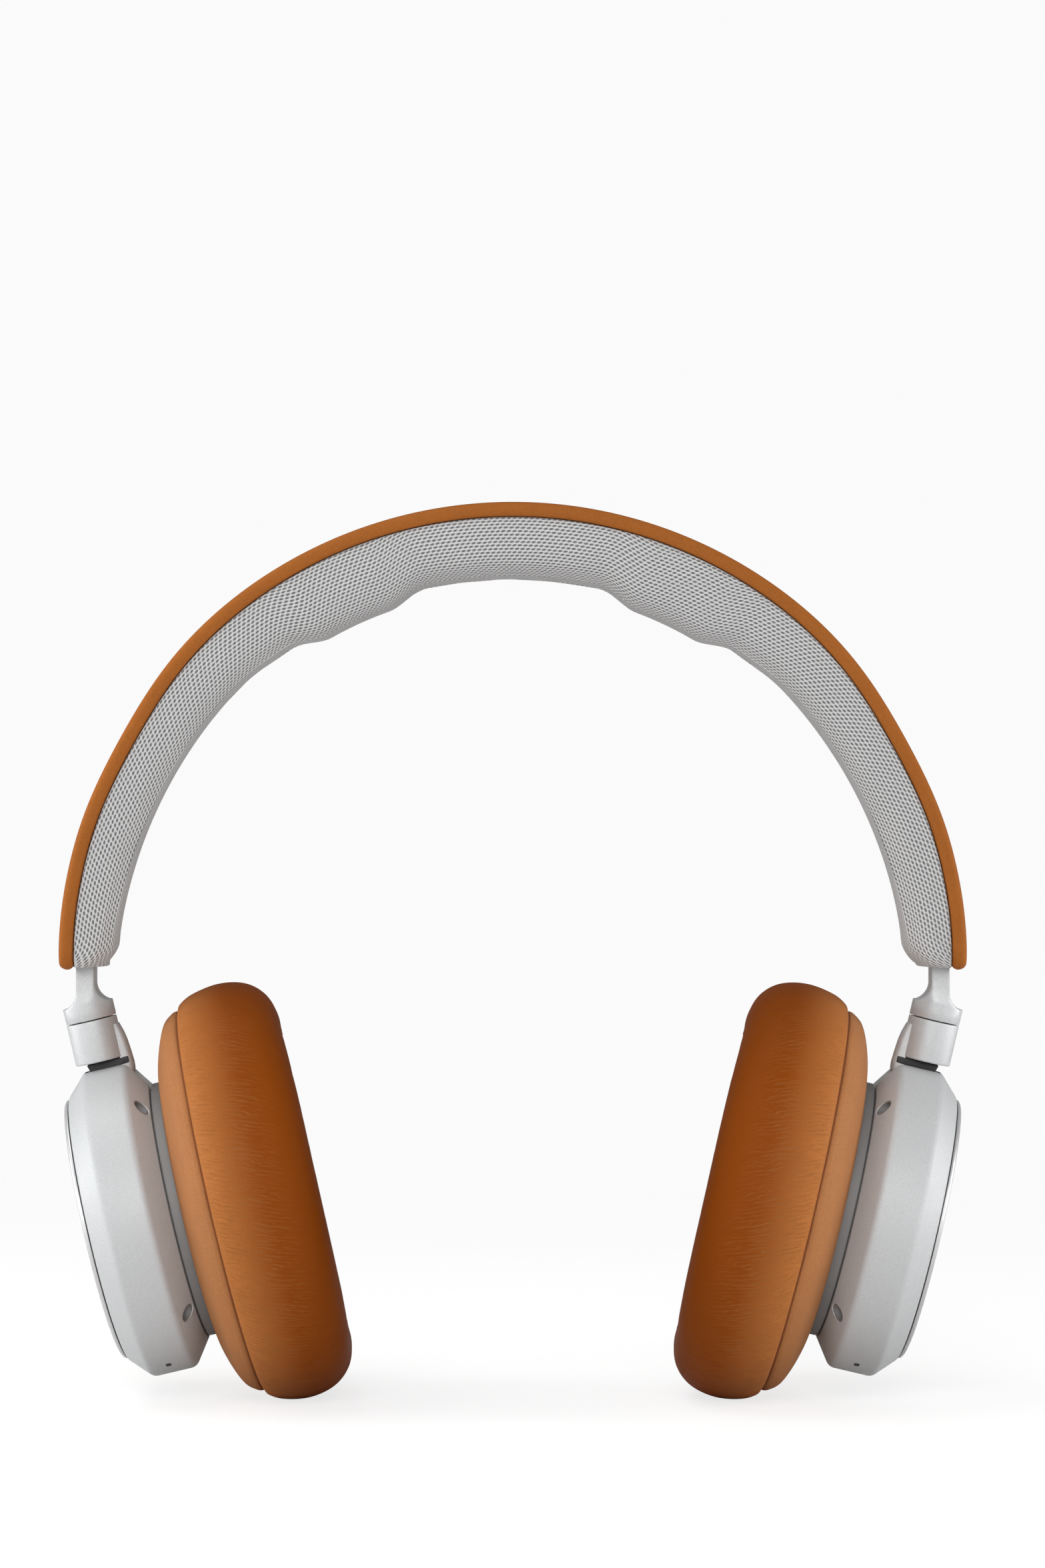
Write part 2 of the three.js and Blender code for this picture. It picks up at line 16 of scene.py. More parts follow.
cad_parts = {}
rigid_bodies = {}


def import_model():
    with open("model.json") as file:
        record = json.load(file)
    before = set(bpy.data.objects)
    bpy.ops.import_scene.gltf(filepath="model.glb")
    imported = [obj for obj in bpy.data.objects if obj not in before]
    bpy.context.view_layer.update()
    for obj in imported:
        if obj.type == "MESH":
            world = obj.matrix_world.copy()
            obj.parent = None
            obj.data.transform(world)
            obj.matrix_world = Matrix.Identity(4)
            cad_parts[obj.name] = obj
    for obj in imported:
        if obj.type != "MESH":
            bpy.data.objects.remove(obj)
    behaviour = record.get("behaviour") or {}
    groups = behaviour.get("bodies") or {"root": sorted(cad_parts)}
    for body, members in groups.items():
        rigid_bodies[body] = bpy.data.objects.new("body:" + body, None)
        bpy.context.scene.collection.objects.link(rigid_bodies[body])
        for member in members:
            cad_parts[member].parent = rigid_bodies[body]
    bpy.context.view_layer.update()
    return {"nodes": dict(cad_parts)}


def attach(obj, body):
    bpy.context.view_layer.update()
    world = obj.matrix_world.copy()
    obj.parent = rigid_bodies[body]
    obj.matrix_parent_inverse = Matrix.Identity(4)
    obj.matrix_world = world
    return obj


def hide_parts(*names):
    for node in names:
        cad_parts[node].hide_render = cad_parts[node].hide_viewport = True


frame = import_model()

MM = 0.001
TURN = 2 * math.pi

# The band, as angles in degrees from its left end and radii from the centre of the arch
BAND_RADIUS = 97.5
BAND_CENTRE_Z = 95.95
BAND_END_DROP = 3.3
BAND_HALF_WIDTH_TOP = 17.2
BAND_HALF_WIDTH_END = 12.6
RIM_DEPTH = 3.05
LEATHER_WALL = 1.7
LEATHER_END = math.degrees(math.asin(BAND_END_DROP / BAND_RADIUS))
PAD_RADIUS = 88  # where lengths along the padding are measured
PAD_DEPTH = 3.4
PAD_END_DEGREES = 1.7
PAD_END_ROUNDING = 7  # how far up the arch each end of the pad rounds off, and by how much
PAD_END_RISE = 3.9
PAD_END_INNER = 87.6  # the arm slides past outside this radius
PAD_LEAN = 0.5  # the padding is this much thinner on the left side and thicker on the right
PAD_FOLDS = ((76.5, 0.5), (103.5, 0.5), (54, 0.6), (126, 0.6))  # at these angles, this deep
PAD_FACETS = 5  # across each rounded corner of the padding's section
PAD_FILL = 6  # points between two of its corners
POCKET_TOP_Z = BAND_CENTRE_Z + 31  # the arm slides up into a pocket in the padding
POCKET_HALF_WIDTH = 7
POCKET_INNER = 86.2

# The cups
CUP_X = 85.05
CUP_Z = 37.35
CUP_TILT = math.radians(13.2)
DRUM_RADIUS = 33.8
DRUM_DEPTH = 9.2
HALF_DRUM = DRUM_DEPTH / 2
DISC_RADIUS = 28.6
NECK_RADIUS = 27.9
CUSHION_BACK = 23.1
CUSHION_FACE = 43
CUSHION_WEDGE = 0.0565
CUSHION_LEAN = 0.009
CUSHION_UV_RADIUS = 44  # where lengths round the cushion are measured
EAR_HALF_HEIGHT = 27.5
EAR_HALF_WIDTH = 20.5
SCREW_TURNS = [36.5, 131.4, -36.5, -131.4]
SCREW_RING_RADIUS = 30.3
MICROPHONE_TURN = 156
MICROPHONE_N = 4.4
MICROPHONE_HALF = 1.15
BACK_TURN = -90
CHARGING_TURN = -152
AUDIO_TURN = -174

# The arms and hinges
SLEEVE_AXIS = 3.94
SLEEVE_RADIUS = 5.52
SLEEVE_BOTTOM = 35.3
SLEEVE_TOP = 44.3
KNUCKLE_TOP = 47.9
STEM_OUTER = 94.4
STEM_INNER = 90.4
STEM_HALF_WIDTH = 5
BRACKET_HALF_WIDTH = 3
GAP = 0.3

SIDES = ("left", "right")

# The studio, in the strengths that the shader and the world take
PAPER_WHITE = 0.957  # the paper and the room as the camera sees them
FLOOR_GLOW = 0.76  # the glow of the paper round the cups; their shadows show in the rest
FLOOR_BOUNCE = 0.9  # how much of the lamps' light the paper sends back up
ROOM_LIGHT = 0.2

CAMERA_PLACE = (2.1, -1200, 149.45)
CAMERA_LENS = 127.102
CAMERA_SHIFT = -0.04953


# ---------------------------------------------------------------- small helpers


def smooth(low, high, value):
    """0 up to low and 1 past high, with a soft step between them; low may be above high."""
    share = np.clip((np.asarray(value, float) - low) / (high - low), 0, 1)
    return share * share * (3 - 2 * share)


def lerp(a, b, share):
    return a + (b - a) * share


def stacked(*axes):
    """Points from their coordinates, each an array or one number for all of them."""
    return np.stack(np.broadcast_arrays(*axes), axis=-1)


def rounded(corners, facets=5, fill=0):
    """A closed outline from corners (x, y, radius), with each corner rounded and fill points per edge."""
    spots = np.array([corner[:2] for corner in corners], float)
    radii = np.array([corner[2] for corner in corners], float)
    following = np.roll(spots, -1, axis=0)
    length = np.linalg.norm(following - spots, axis=1)
    along = (following - spots) / np.maximum(length, 1e-9)[:, None]
    leave = spots + along * np.minimum(radii, 0.49 * length)[:, None]
    arrive = following - along * np.minimum(np.roll(radii, -1), 0.49 * length)[:, None]
    outline = []
    for i, here in enumerate(spots):
        for t in np.arange(facets + 1) / facets:
            outline.append((1 - t) ** 2 * arrive[i - 1] + 2 * t * (1 - t) * here + t * t * leave[i])
        for t in np.arange(1, fill + 1) / (fill + 1):
            outline.append(lerp(leave[i], arrive[i], t))
    return np.array(outline)


def curve_through(points, steps=8):
    """A smooth open curve through points, as a Catmull-Rom spline."""
    given = np.array(points, float)
    padded = np.vstack([2 * given[0] - given[1], given, 2 * given[-1] - given[-2]])
    curve = []
    for a, b, c, d in zip(padded, padded[1:], padded[2:], padded[3:]):
        for t in np.arange(steps) / steps:
            bend = 2 * a - 5 * b + 4 * c - d
            curve.append(b + 0.5 * t * (c - a + t * (bend + t * (3 * b - 3 * c + d - a))))
    curve.append(given[-1])
    return np.array(curve)


def grid_faces(points, wrap_rows=False, wrap_columns=False, uv=None):
    """The quads of a grid of points (rows, columns, 3), and a UV pair for each of their corners."""
    rows, columns = points.shape[:2]
    i, j = np.meshgrid(
        np.arange(rows - (not wrap_rows)), np.arange(columns - (not wrap_columns)), indexing="ij"
    )
    i, j = i.ravel(), j.ravel()
    next_i, next_j = (i + 1) % rows, (j + 1) % columns
    corners = [(i, j), (next_i, j), (next_i, next_j), (i, next_j)]
    faces = np.stack([a * columns + b for a, b in corners], axis=1)
    if uv is None:
        return faces, None
    spots = [(i, j), (i + 1, j), (i + 1, j + 1), (i, j + 1)]
    return faces, np.stack([uv[a, b] for a, b in spots], axis=1).reshape(-1, 2)


def in_cup(points):
    """Points of the left cup's own frame (n, y, u) as (x, y, z)."""
    n, y, u = np.moveaxis(np.asarray(points, float), -1, 0)
    x = -CUP_X + n * math.cos(CUP_TILT) - u * math.sin(CUP_TILT)
    z = CUP_Z + n * math.sin(CUP_TILT) + u * math.cos(CUP_TILT)
    return stacked(x, y, z)


def turned_to(points, degrees):
    """Points of the cup's frame turned about the ear axis; positive turns go towards the front."""
    n, y, u = np.moveaxis(np.asarray(points, float), -1, 0)
    c, s = math.cos(math.radians(degrees)), math.sin(math.radians(degrees))
    return stacked(n, y * c - u * s, y * s + u * c)


def lengths_round(outline):
    """How far round a closed outline each of its points lies, and last its whole length."""
    steps = np.linalg.norm(np.diff(np.vstack([outline, outline[:1]]), axis=0), axis=1)
    return np.concatenate([[0], np.cumsum(steps)])


def lathe(outline, facets=192):
    """A closed ring round the ear axis, from an outline of (radius, n), as grid points and UVs."""
    radius, n = np.asarray(outline, float).T
    turn = np.arange(facets) / facets * TURN
    points = stacked(n, -np.outer(np.sin(turn), radius), np.outer(np.cos(turn), radius))
    around = np.arange(facets + 1) / facets * TURN * radius.max()
    return points, stacked(around[:, None], lengths_round(outline))


def tube(points, uv=None):
    """The faces of loops of points joined one to the next and closed at both ends, and their UVs."""
    rows, columns = points.shape[:2]
    last = (rows - 1) * columns
    faces, corners = grid_faces(points, False, True, uv)
    faces = faces.tolist() + [list(range(columns))[::-1], list(range(last, last + columns))]
    if uv is not None:
        corners = np.vstack([corners, uv[0, :columns][::-1], uv[-1, :columns]])
    return faces, corners


def shaded(data, sharp):
    """Smooth shading, except over edges sharper than that many degrees."""
    data.shade_smooth()
    data.set_sharp_from_angle(angle=math.radians(sharp))


def mesh(name, points, faces, uv=None, side="left", sharp=40):
    """A mesh object from points in millimetres, its faces turned outwards; the right side is mirrored."""
    places = np.array(points, float).reshape(-1, 3) * MM
    if side == "right":
        places[:, 0] *= -1
    data = bpy.data.meshes.new(name)
    data.from_pydata(places.tolist(), [], [list(map(int, face)) for face in faces])
    if uv is not None:
        layer = data.uv_layers.new(name="surface")
        layer.data.foreach_set("uv", np.asarray(uv, np.float32).ravel())
    work = bmesh.new()
    work.from_mesh(data)
    bmesh.ops.remove_doubles(work, verts=work.verts, dist=1e-7)
    bmesh.ops.recalc_face_normals(work, faces=work.faces)
    work.to_mesh(data)
    work.free()
    shaded(data, sharp)
    piece = bpy.data.objects.new(name, data)
    bpy.context.scene.collection.objects.link(piece)
    return piece


def ring(name, outline, side="left", facets=192, sharp=40):
    """A mesh object turned about the cup's ear axis."""
    points, uv = lathe(outline, facets)
    return mesh(name, in_cup(points), *grid_faces(points, True, True, uv), side, sharp)


def loft(name, loops, side, turn=0):
    """A mesh object through loops of the cup's frame, closed at both ends and turned to its place."""
    points = np.array(loops)
    return mesh(name, in_cup(turned_to(points, turn)), tube(points)[0], None, side)


def plate(name, outline, half_width, side):
    """A mesh object with its outline in (n, u), reaching as far to the front as to the back."""
    return loft(name, [[(n, y, u) for n, u in outline] for y in (-half_width, half_width)], side)


def bar(name, radii, start, end, turn, side, upright=False, facets=48):
    """A round bar, from one radius or (radius, share of its length) pairs, turned to its place: along
    the ear axis through a screw's place, or upright through the middle of the drum."""
    if not isinstance(radii, list):
        radii = [(radii, 0), (radii, 1)]
    angle = np.arange(facets) / facets * TURN
    loops = []
    for radius, share in radii:
        a, b = radius * np.cos(angle), radius * np.sin(angle)
        along = lerp(start, end, share)
        spots = (HALF_DRUM + a, b, along) if upright else (along, a, SCREW_RING_RADIUS + b)
        loops.append(stacked(*spots))
    return loft(name, loops, side, turn)


def oblong(n, half_n, half_y, radius, facets=6, fill=0):
    """An outline in (n, y) round a middle at n, with its corners rounded."""
    signs = ((-1, -1), (1, -1), (1, 1), (-1, 1))
    return rounded([(n + a * half_n, b * half_y, radius) for a, b in signs], facets, fill)


def block(name, n, half_n, half_y, radius, start, end, turn, side):
    """An oblong that stands up from the ear axis, from start to end, turned to its place round it."""
    outline = oblong(n, half_n, half_y, radius)
    return loft(name, [[(*spot, u) for spot in outline] for u in (start, end)], side, turn)


def applied(piece):
    """Turns the piece's modifiers into its mesh."""
    shown = piece.evaluated_get(bpy.context.evaluated_depsgraph_get())
    data = bpy.data.meshes.new_from_object(shown)
    piece.modifiers.clear()
    piece.data = data


def carve(piece, cutters):
    """Cuts the cutters out of the piece and removes them."""
    for i, cutter in enumerate(cutters):
        step = piece.modifiers.new(f"cut_{i}", "BOOLEAN")
        step.operation = "DIFFERENCE"
        step.solver = "EXACT"
        step.object = cutter
    applied(piece)
    for cutter in cutters:
        bpy.data.objects.remove(cutter)
    shaded(piece.data, 30)


def softened(piece, width, segments=3):
    """Rounds the piece's sharp edges by width millimetres."""
    bevel = piece.modifiers.new("edges", "BEVEL")
    bevel.width = width * MM
    bevel.segments = segments
    bevel.limit_method = "ANGLE"
    bevel.angle_limit = math.radians(35)
    applied(piece)
    shaded(piece.data, 50)
    return piece


def fitted(piece, body, slot, material, *nodes):
    """Gives a finished piece its finish, its body and the CAD nodes that it stands for."""
    piece.data.materials.clear()
    piece.data.materials.append(material)
    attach(piece, body)
    if nodes:
        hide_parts(*nodes)


# ---------------------------------------------------------------- materials


class Finish:
    """A material with one Principled shader, and short calls for the nodes that feed it."""

    def __init__(self, name, **settings):
        self.material = bpy.data.materials.new(name)
        self.material.use_nodes = True
        self.tree = self.material.node_tree
        self.shader = self.tree.nodes["Principled BSDF"]
        for socket, value in settings.items():
            self.shader.inputs[socket.replace("_", " ")].default_value = value

    def add(self, kind, inputs=(), **settings):
        node = self.tree.nodes.new("ShaderNode" + kind)
        for key, value in settings.items():
            setattr(node, key, value)
        for key, value in dict(inputs).items():
            if isinstance(value, bpy.types.NodeSocket):
                self.tree.links.new(value, node.inputs[key])
            else:
                node.inputs[key].default_value = value
        return node

    def math(self, operation, a, b=0.0):
        return self.add("Math", {0: a, 1: b}, operation=operation).outputs[0]

    def times(self, *factors):
        product = factors[0]
        for factor in factors[1:]:
            product = self.math("MULTIPLY", product, factor)
        return product

    def millimetres(self, stretch=(1, 1, 1)):
        """The point on the piece, in millimetres, stretched along the three axes."""
        place = self.add("TexCoord").outputs["Object"]
        scale = tuple(s / MM for s in stretch)
        return self.add("Mapping", {"Vector": place, "Scale": scale}).outputs[0]

    def surface(self, stretch=(1, 1)):
        """The point along the surface, in millimetres, from the piece's own UVs."""
        place = self.add("UVMap", uv_map="surface").outputs["UV"]
        return self.add("Mapping", {"Vector": place, "Scale": (*stretch, 1)}).outputs[0]

    def noise(self, vector, scale, detail=3.0, roughness=0.55, distortion=0.0):
        names = ("Vector", "Scale", "Detail", "Roughness", "Distortion")
        inputs = dict(zip(names, (vector, scale, detail, roughness, distortion)))
        return self.add("TexNoise", inputs).outputs["Fac"]

    def cells(self, vector, scale, feature="F1"):
        inputs = {"Vector": vector, "Scale": scale}
        return self.add("TexVoronoi", inputs, feature=feature).outputs["Distance"]

    def between(self, value, low, high, to_low=0.0, to_high=1.0):
        """A soft step from to_low, up to low, to to_high, past high."""
        inputs = {0: value, 1: low, 2: high, 3: to_low, 4: to_high}
        return self.add("MapRange", inputs, interpolation_type="SMOOTHSTEP").outputs[0]

    def mixed(self, share, a, b):
        a, b = (c if isinstance(c, bpy.types.NodeSocket) else (*c, 1) for c in (a, b))
        return self.add("Mix", {0: share, 6: a, 7: b}, data_type="RGBA").outputs[2]

    def colour(self, socket):
        self.tree.links.new(socket, self.shader.inputs["Base Color"])

    def rough(self, pattern, low, high, edge=0.3):
        """Roughness that follows a pattern, from low to high."""
        socket = self.between(pattern, edge, 1 - edge, low, high)
        self.tree.links.new(socket, self.shader.inputs["Roughness"])

    def relief(self, height, depth, strength=1.0):
        """Bumps of that depth in millimetres; later calls lie on top of earlier ones."""
        bump = self.add("Bump", {"Height": height, "Distance": depth * MM, "Strength": strength})
        normal = self.shader.inputs["Normal"]
        if normal.is_linked:
            self.tree.links.new(normal.links[0].from_socket, bump.inputs["Normal"])
        self.tree.links.new(bump.outputs[0], normal)


def linear(red, green, blue):
    """A colour on the usual 0 to 255 scale as the shader's own linear values."""
    values = [c / 255 for c in (red, green, blue)]
    return tuple(v / 12.92 if v <= 0.04045 else ((v + 0.055) / 1.055) ** 2.4 for v in values)


def leather(name, base, creased=False):
    """Smooth tan leather: soft patches of tone and a fine pebbled grain with pores. The creased one is a
    cushion's, with painted shade that darkens it towards the face that meets the head and in the valleys
    of its creases."""
    finish = Finish(name, Specular_IOR_Level=0.05)
    place = finish.millimetres()
    patches = finish.noise(place, 0.09, 4, 0.6)
    grain = finish.cells(place, 2.4)
    pores = finish.noise(place, 5.5, 2, 0.6)
    deep = tuple(c * 0.6 for c in base)
    tone = finish.mixed(finish.between(patches, 0.3, 0.7), tuple(c * 0.93 for c in base), base)
    tone = finish.mixed(finish.between(grain, 0.35, 0.75, 0, 0.22), tone, deep)
    tone = finish.mixed(finish.between(pores, 0.6, 0.75, 0, 0.28), tone, deep)
    finish.rough(patches, 0.5, 0.6, 0.25)
    if creased:
        across = finish.add("SeparateXYZ", {0: finish.surface()}).outputs[1]
        # painted shade: past 13 mm from the seam the cushion turns darker and redder towards the face
        # that meets the head
        painted_face_shade = tuple(c * share for c, share in zip(base, (0.5, 0.3, 0.06)))
        tone = finish.mixed(finish.between(across, 0, 13), tone, painted_face_shade)
        tone = crease(finish, tone, deep)
    finish.colour(tone)
    finish.relief(grain, 0.045, 0.6)
    finish.relief(pores, 0.02, 0.5)
    return finish.material


CREASES_START = 0.3  # across the cushion from its seam
CREASES_FADE = 7
CREASES_END = 20
CREASE_SLANT = -0.42


def crease(finish, tone, deep):
    """Fine wavy creases that run across the cushion, strongest along its sides near the seam, with
    painted shade darkening their valleys.
    """
    split = finish.add("SeparateXYZ", {0: finish.surface()})
    around, across = split.outputs[0], split.outputs[1]
    height = finish.math("COSINE", finish.math("DIVIDE", around, CUSHION_UV_RADIUS))
    patches = finish.noise(finish.surface((0.07, 0.1)), 1.0, 2)
    amount = finish.times(
        finish.between(across, CREASES_START, CREASES_START + 2),
        finish.between(across, CREASES_FADE, CREASES_END, 1, 0),
        finish.between(height, 0.8, 0.99, 1, 0.15),
        finish.between(height, -0.99, -0.85, 0.35, 1),
        finish.between(patches, 0.32, 0.6, 0.6, 1),
    )
    lean = finish.math("ADD", around, finish.times(across, CREASE_SLANT))
    for pitch, wander, depth, shade in ((1.05, 3.0, 0.3, 0.65), (0.7, 3.8, 0.18, 0.55)):
        drift = finish.noise(finish.surface((0.24 / pitch, 0.1 / pitch)), 1.0, 3)
        phase = finish.math("ADD", finish.math("DIVIDE", lean, pitch), finish.times(drift, wander))
        wave = finish.math("SINE", finish.times(phase, TURN))
        broken = finish.between(finish.noise(finish.surface((0.55, 0.16)), 1 / pitch, 2), 0.36, 0.56)
        valley = finish.times(finish.between(wave, -0.95, -0.05, 1, 0), amount, broken)
        # painted shade: each crease valley is mixed towards the deep colour
        tone = finish.mixed(finish.times(valley, shade), tone, deep)
        finish.relief(valley, depth, -0.85)
    return tone


KNIT_PITCH_ALONG = 1.16
KNIT_PITCH_ACROSS = 0.76
KNIT_HOLE_ALONG = 0.4
KNIT_HOLE_ACROSS = 0.22
KNIT_SLANT = 0.42


def knit(name):
    """An open spacer knit: staggered rows of slanted oval holes, painted darker as the shade inside them,
    between light yarns.
    """
    finish = Finish(name, Roughness=0.92, Specular_IOR_Level=0.15, Sheen_Weight=0.25)
    finish.shader.inputs["Sheen Roughness"].default_value = 0.5
    wobble = finish.noise(finish.surface(), 0.35, 2)
    drift = finish.times(finish.math("SUBTRACT", wobble, 0.5), 0.3)
    split = finish.add("SeparateXYZ", {0: finish.surface()})
    across = finish.math("ADD", finish.math("DIVIDE", split.outputs[1], KNIT_PITCH_ACROSS), drift)
    stagger = finish.times(finish.math("FLOORED_MODULO", finish.math("FLOOR", across), 2.0), 0.5)
    along = finish.math("ADD", finish.math("DIVIDE", split.outputs[0], KNIT_PITCH_ALONG), stagger)
    along = finish.math("ADD", along, drift)
    from_row = finish.math("SUBTRACT", finish.math("FRACT", across), 0.5)
    from_column = finish.math("SUBTRACT", finish.math("FRACT", along), 0.5)
    from_column = finish.math("ADD", from_column, finish.times(from_row, KNIT_SLANT))
    wide = finish.times(from_column, KNIT_PITCH_ALONG / KNIT_HOLE_ALONG)
    high = finish.times(from_row, KNIT_PITCH_ACROSS / KNIT_HOLE_ACROSS)
    reach = finish.math("ADD", finish.math("POWER", wide, 2.0), finish.math("POWER", high, 2.0))
    hole = finish.between(reach, 0.0, 2.5, 1, 0)
    dip = finish.between(reach, 0.1, 3.6, 1, 0)
    fibres = finish.noise(finish.surface((1.0, 2.2)), 4.5, 3, 0.6, 0.8)
    yarn = finish.mixed(fibres, linear(206, 206, 206), linear(244, 244, 244))
    # painted shade: the grey of the holes stands for the shade inside them
    shade = finish.mixed(fibres, linear(92, 92, 93), linear(128, 128, 128))
    finish.colour(finish.mixed(hole, yarn, shade))
    finish.relief(dip, 0.42, -1.0)
    finish.relief(fibres, 0.05, 0.7)
    return finish.material


def blasted_metal(name, tone, roughness, metallic=1.0, grain=0.014):
    """Bead-blasted aluminium: even and satin, with a very fine sparkle of grain."""
    finish = Finish(name, Metallic=metallic)
    place = finish.millimetres()
    speckle = finish.noise(place, 4.5, 3, 0.7)
    cloud = finish.noise(place, 0.12, 3)
    low, high = (linear(tone + d - 2, tone + d, tone + d + 1) for d in (-9, 8))
    finish.colour(finish.mixed(finish.between(speckle, 0.3, 0.7), low, high))
    finish.rough(cloud, roughness - 0.04, roughness + 0.04)
    finish.relief(speckle, grain, 0.5)
    return finish.material


def spun_metal(name, tone, roughness, metallic):
    """Turned aluminium: fine circles round the ear axis, from the piece's own UVs."""
    finish = Finish(name, Metallic=metallic)
    lines = finish.noise(finish.surface((0.004, 1.0)), 4.0, 3, 0.7)
    cloud = finish.noise(finish.millimetres(), 0.1, 3)
    low, high = (linear(*(tone + d,) * 3) for d in (-9, 7))
    finish.colour(finish.mixed(lines, low, high))
    finish.rough(cloud, roughness - 0.04, roughness + 0.05)
    finish.relief(lines, 0.01, 0.5)
    return finish.material


def plastic(name, colour, roughness=0.5, grain=0.02):
    """Moulded plastic with a fine spark-eroded texture."""
    finish = Finish(name, Specular_IOR_Level=0.4)
    place = finish.millimetres()
    texture = finish.noise(place, 4.5, 3, 0.6)
    cloud = finish.noise(place, 0.1, 2)
    light = tuple(c * 1.15 for c in colour)
    finish.colour(finish.mixed(cloud, colour, light))
    finish.rough(texture, roughness - 0.06, roughness + 0.06)
    finish.relief(texture, grain, 0.6)
    return finish.material


def bright_steel(name):
    """Plain machined steel with faint lines from the tool."""
    finish = Finish(name, Metallic=1.0)
    lines = finish.noise(finish.millimetres((1, 1, 6)), 3.0, 3)
    finish.colour(finish.mixed(lines, linear(150, 151, 153), linear(190, 191, 193)))
    finish.rough(lines, 0.26, 0.4)
    finish.relief(lines, 0.01, 0.4)
    return finish.material


def circuit_board(name):
    """Green lacquer over copper tracks, with pale solder pads."""
    finish = Finish(name, Coat_Weight=0.4, Specular_IOR_Level=0.5, Roughness=0.35)
    place = finish.millimetres()
    tracks = finish.cells(place, 0.5, "DISTANCE_TO_EDGE")
    pads = finish.cells(place, 0.45)
    track = finish.between(tracks, 0.03, 0.07, 1, 0)
    pad = finish.between(pads, 0.1, 0.16, 1, 0)
    base = finish.mixed(track, linear(20, 66, 38), linear(46, 112, 64))
    finish.colour(finish.mixed(pad, base, linear(196, 190, 170)))
    finish.relief(finish.between(tracks, 0.03, 0.08, 1, 0), 0.04, 0.6)
    return finish.material


def battery_wrap(name):
    """Silver foil pouch with soft wrinkles."""
    finish = Finish(name, Metallic=0.6)
    wrinkles = finish.noise(finish.millimetres(), 0.4, 4, 0.6, 1.2)
    finish.colour(finish.mixed(wrinkles, linear(140, 143, 148), linear(176, 178, 182)))
    finish.rough(wrinkles, 0.3, 0.45)
    finish.relief(wrinkles, 0.15, 0.5)
    return finish.material


def acoustic_cloth(name):
    """Fine black woven cloth."""
    finish = Finish(name, Roughness=0.95, Specular_IOR_Level=0.2, Sheen_Weight=0.3)
    split = finish.add("SeparateXYZ", {0: finish.surface()})
    threads = []
    for channel in (0, 1):
        wave = finish.math("SINE", finish.math("MULTIPLY", split.outputs[channel], 9.0))
        threads.append(finish.math("ABSOLUTE", wave))
    weave = finish.math("MAXIMUM", *threads)
    finish.colour(finish.mixed(weave, linear(18, 18, 19), linear(62, 62, 64)))
    finish.relief(weave, 0.08, 0.8)
    return finish.material


BAND_LEATHER = leather("band_leather", linear(180, 107, 48))
SKIRT_LEATHER = leather("skirt_leather", linear(177, 119, 75))
CUSHION_LEATHER = leather("cushion_leather", linear(180, 113, 60), True)
# dark brown: partly the thread's own colour, partly painted shade of the groove it lies in
SEAM_THREAD_AND_SHADE = plastic("seam_thread_and_shade", linear(120, 66, 30), 0.8)
KNIT = knit("headband_knit")
ALUMINIUM = blasted_metal("satin_aluminium", 203, 0.5, 0.4, 0.04)
SPUN = spun_metal("spun_aluminium", 212, 0.4, 0.6)
BUTTON_METAL = blasted_metal("button_aluminium", 206, 0.36)
HOUSING = blasted_metal("housing_aluminium", 199, 0.52, 0.1, 0.01)
COLLAR = plastic("collar_grey", linear(128, 128, 128), 0.55)
DARK_PLASTIC = plastic("dark_plastic", linear(38, 38, 40), 0.5)
STEEL = bright_steel("steel")
# dark: partly a dark steel finish, partly painted shade of the sunk screw holes
DARK_STEEL_AND_HOLE_SHADE = blasted_metal("dark_steel_and_hole_shade", 64, 0.55, 0.6)
RUBBER = plastic("rubber", linear(30, 30, 31), 0.85, 0.03)
BOARD = circuit_board("circuit_board")
CELL = battery_wrap("battery_wrap")
FILM = plastic("diaphragm_film", linear(54, 54, 57), 0.35)
CLOTH = acoustic_cloth("acoustic_cloth")


# ---------------------------------------------------------------- the headband


def band_half_width(degrees):
    rise = np.maximum(0, np.sin(np.radians(degrees)))
    return lerp(BAND_HALF_WIDTH_END, BAND_HALF_WIDTH_TOP, rise**1.5)


def band_radius(degrees):
    """Radius of the outside of the leather: nearly round, a little flatter where each side turns down."""
    from_end = 90 - np.abs(degrees - 90)
    flat = 0.95 * np.exp(-(((from_end - 29) / 11) ** 2))
    return BAND_RADIUS - 0.3 - flat + 0.3 * smooth(14, 0, from_end)


def pad_inner_radius(degrees):
    """A shallow crown recess, a thick lobe each side of it, and even sides that taper to their ends."""
    from_top = abs(degrees - 90)
    crown = 80.65 + 0.35 * min(1, from_top / 14) ** 2
    lobe = lerp(crown, 78.2, smooth(13, 20, from_top))
    side = lerp(lobe, 81.0, smooth(30, 36.5, from_top)) + 0.7 * smooth(36.5, 46, from_top)
    taper = 3 * max(0, (from_top - 50) / 38) ** 2
    return side + taper + PAD_LEAN * float(smooth(0, 60, 90 - degrees) - smooth(0, 60, degrees - 90))


def arch_points(degrees, section):
    """A section of (radius, y) points stood up at an angle along the arch."""
    radius, y = section.T
    angle = math.radians(degrees)
    x = -radius * math.cos(angle)
    z = BAND_CENTRE_Z + radius * math.sin(angle)
    return stacked(x, y, z)


def stations(end_degrees, fine_degrees, fine, coarse):
    """Angles along the arch, closer together where each end is rounded."""
    ease = 1 - np.cos(np.linspace(0.05, 1, fine) * math.pi / 2)
    start = -end_degrees + ease * fine_degrees
    middle = np.linspace(start[-1], 180 - start[-1], coarse)[1:-1]
    return np.concatenate([start, middle, (180 - start)[::-1]])


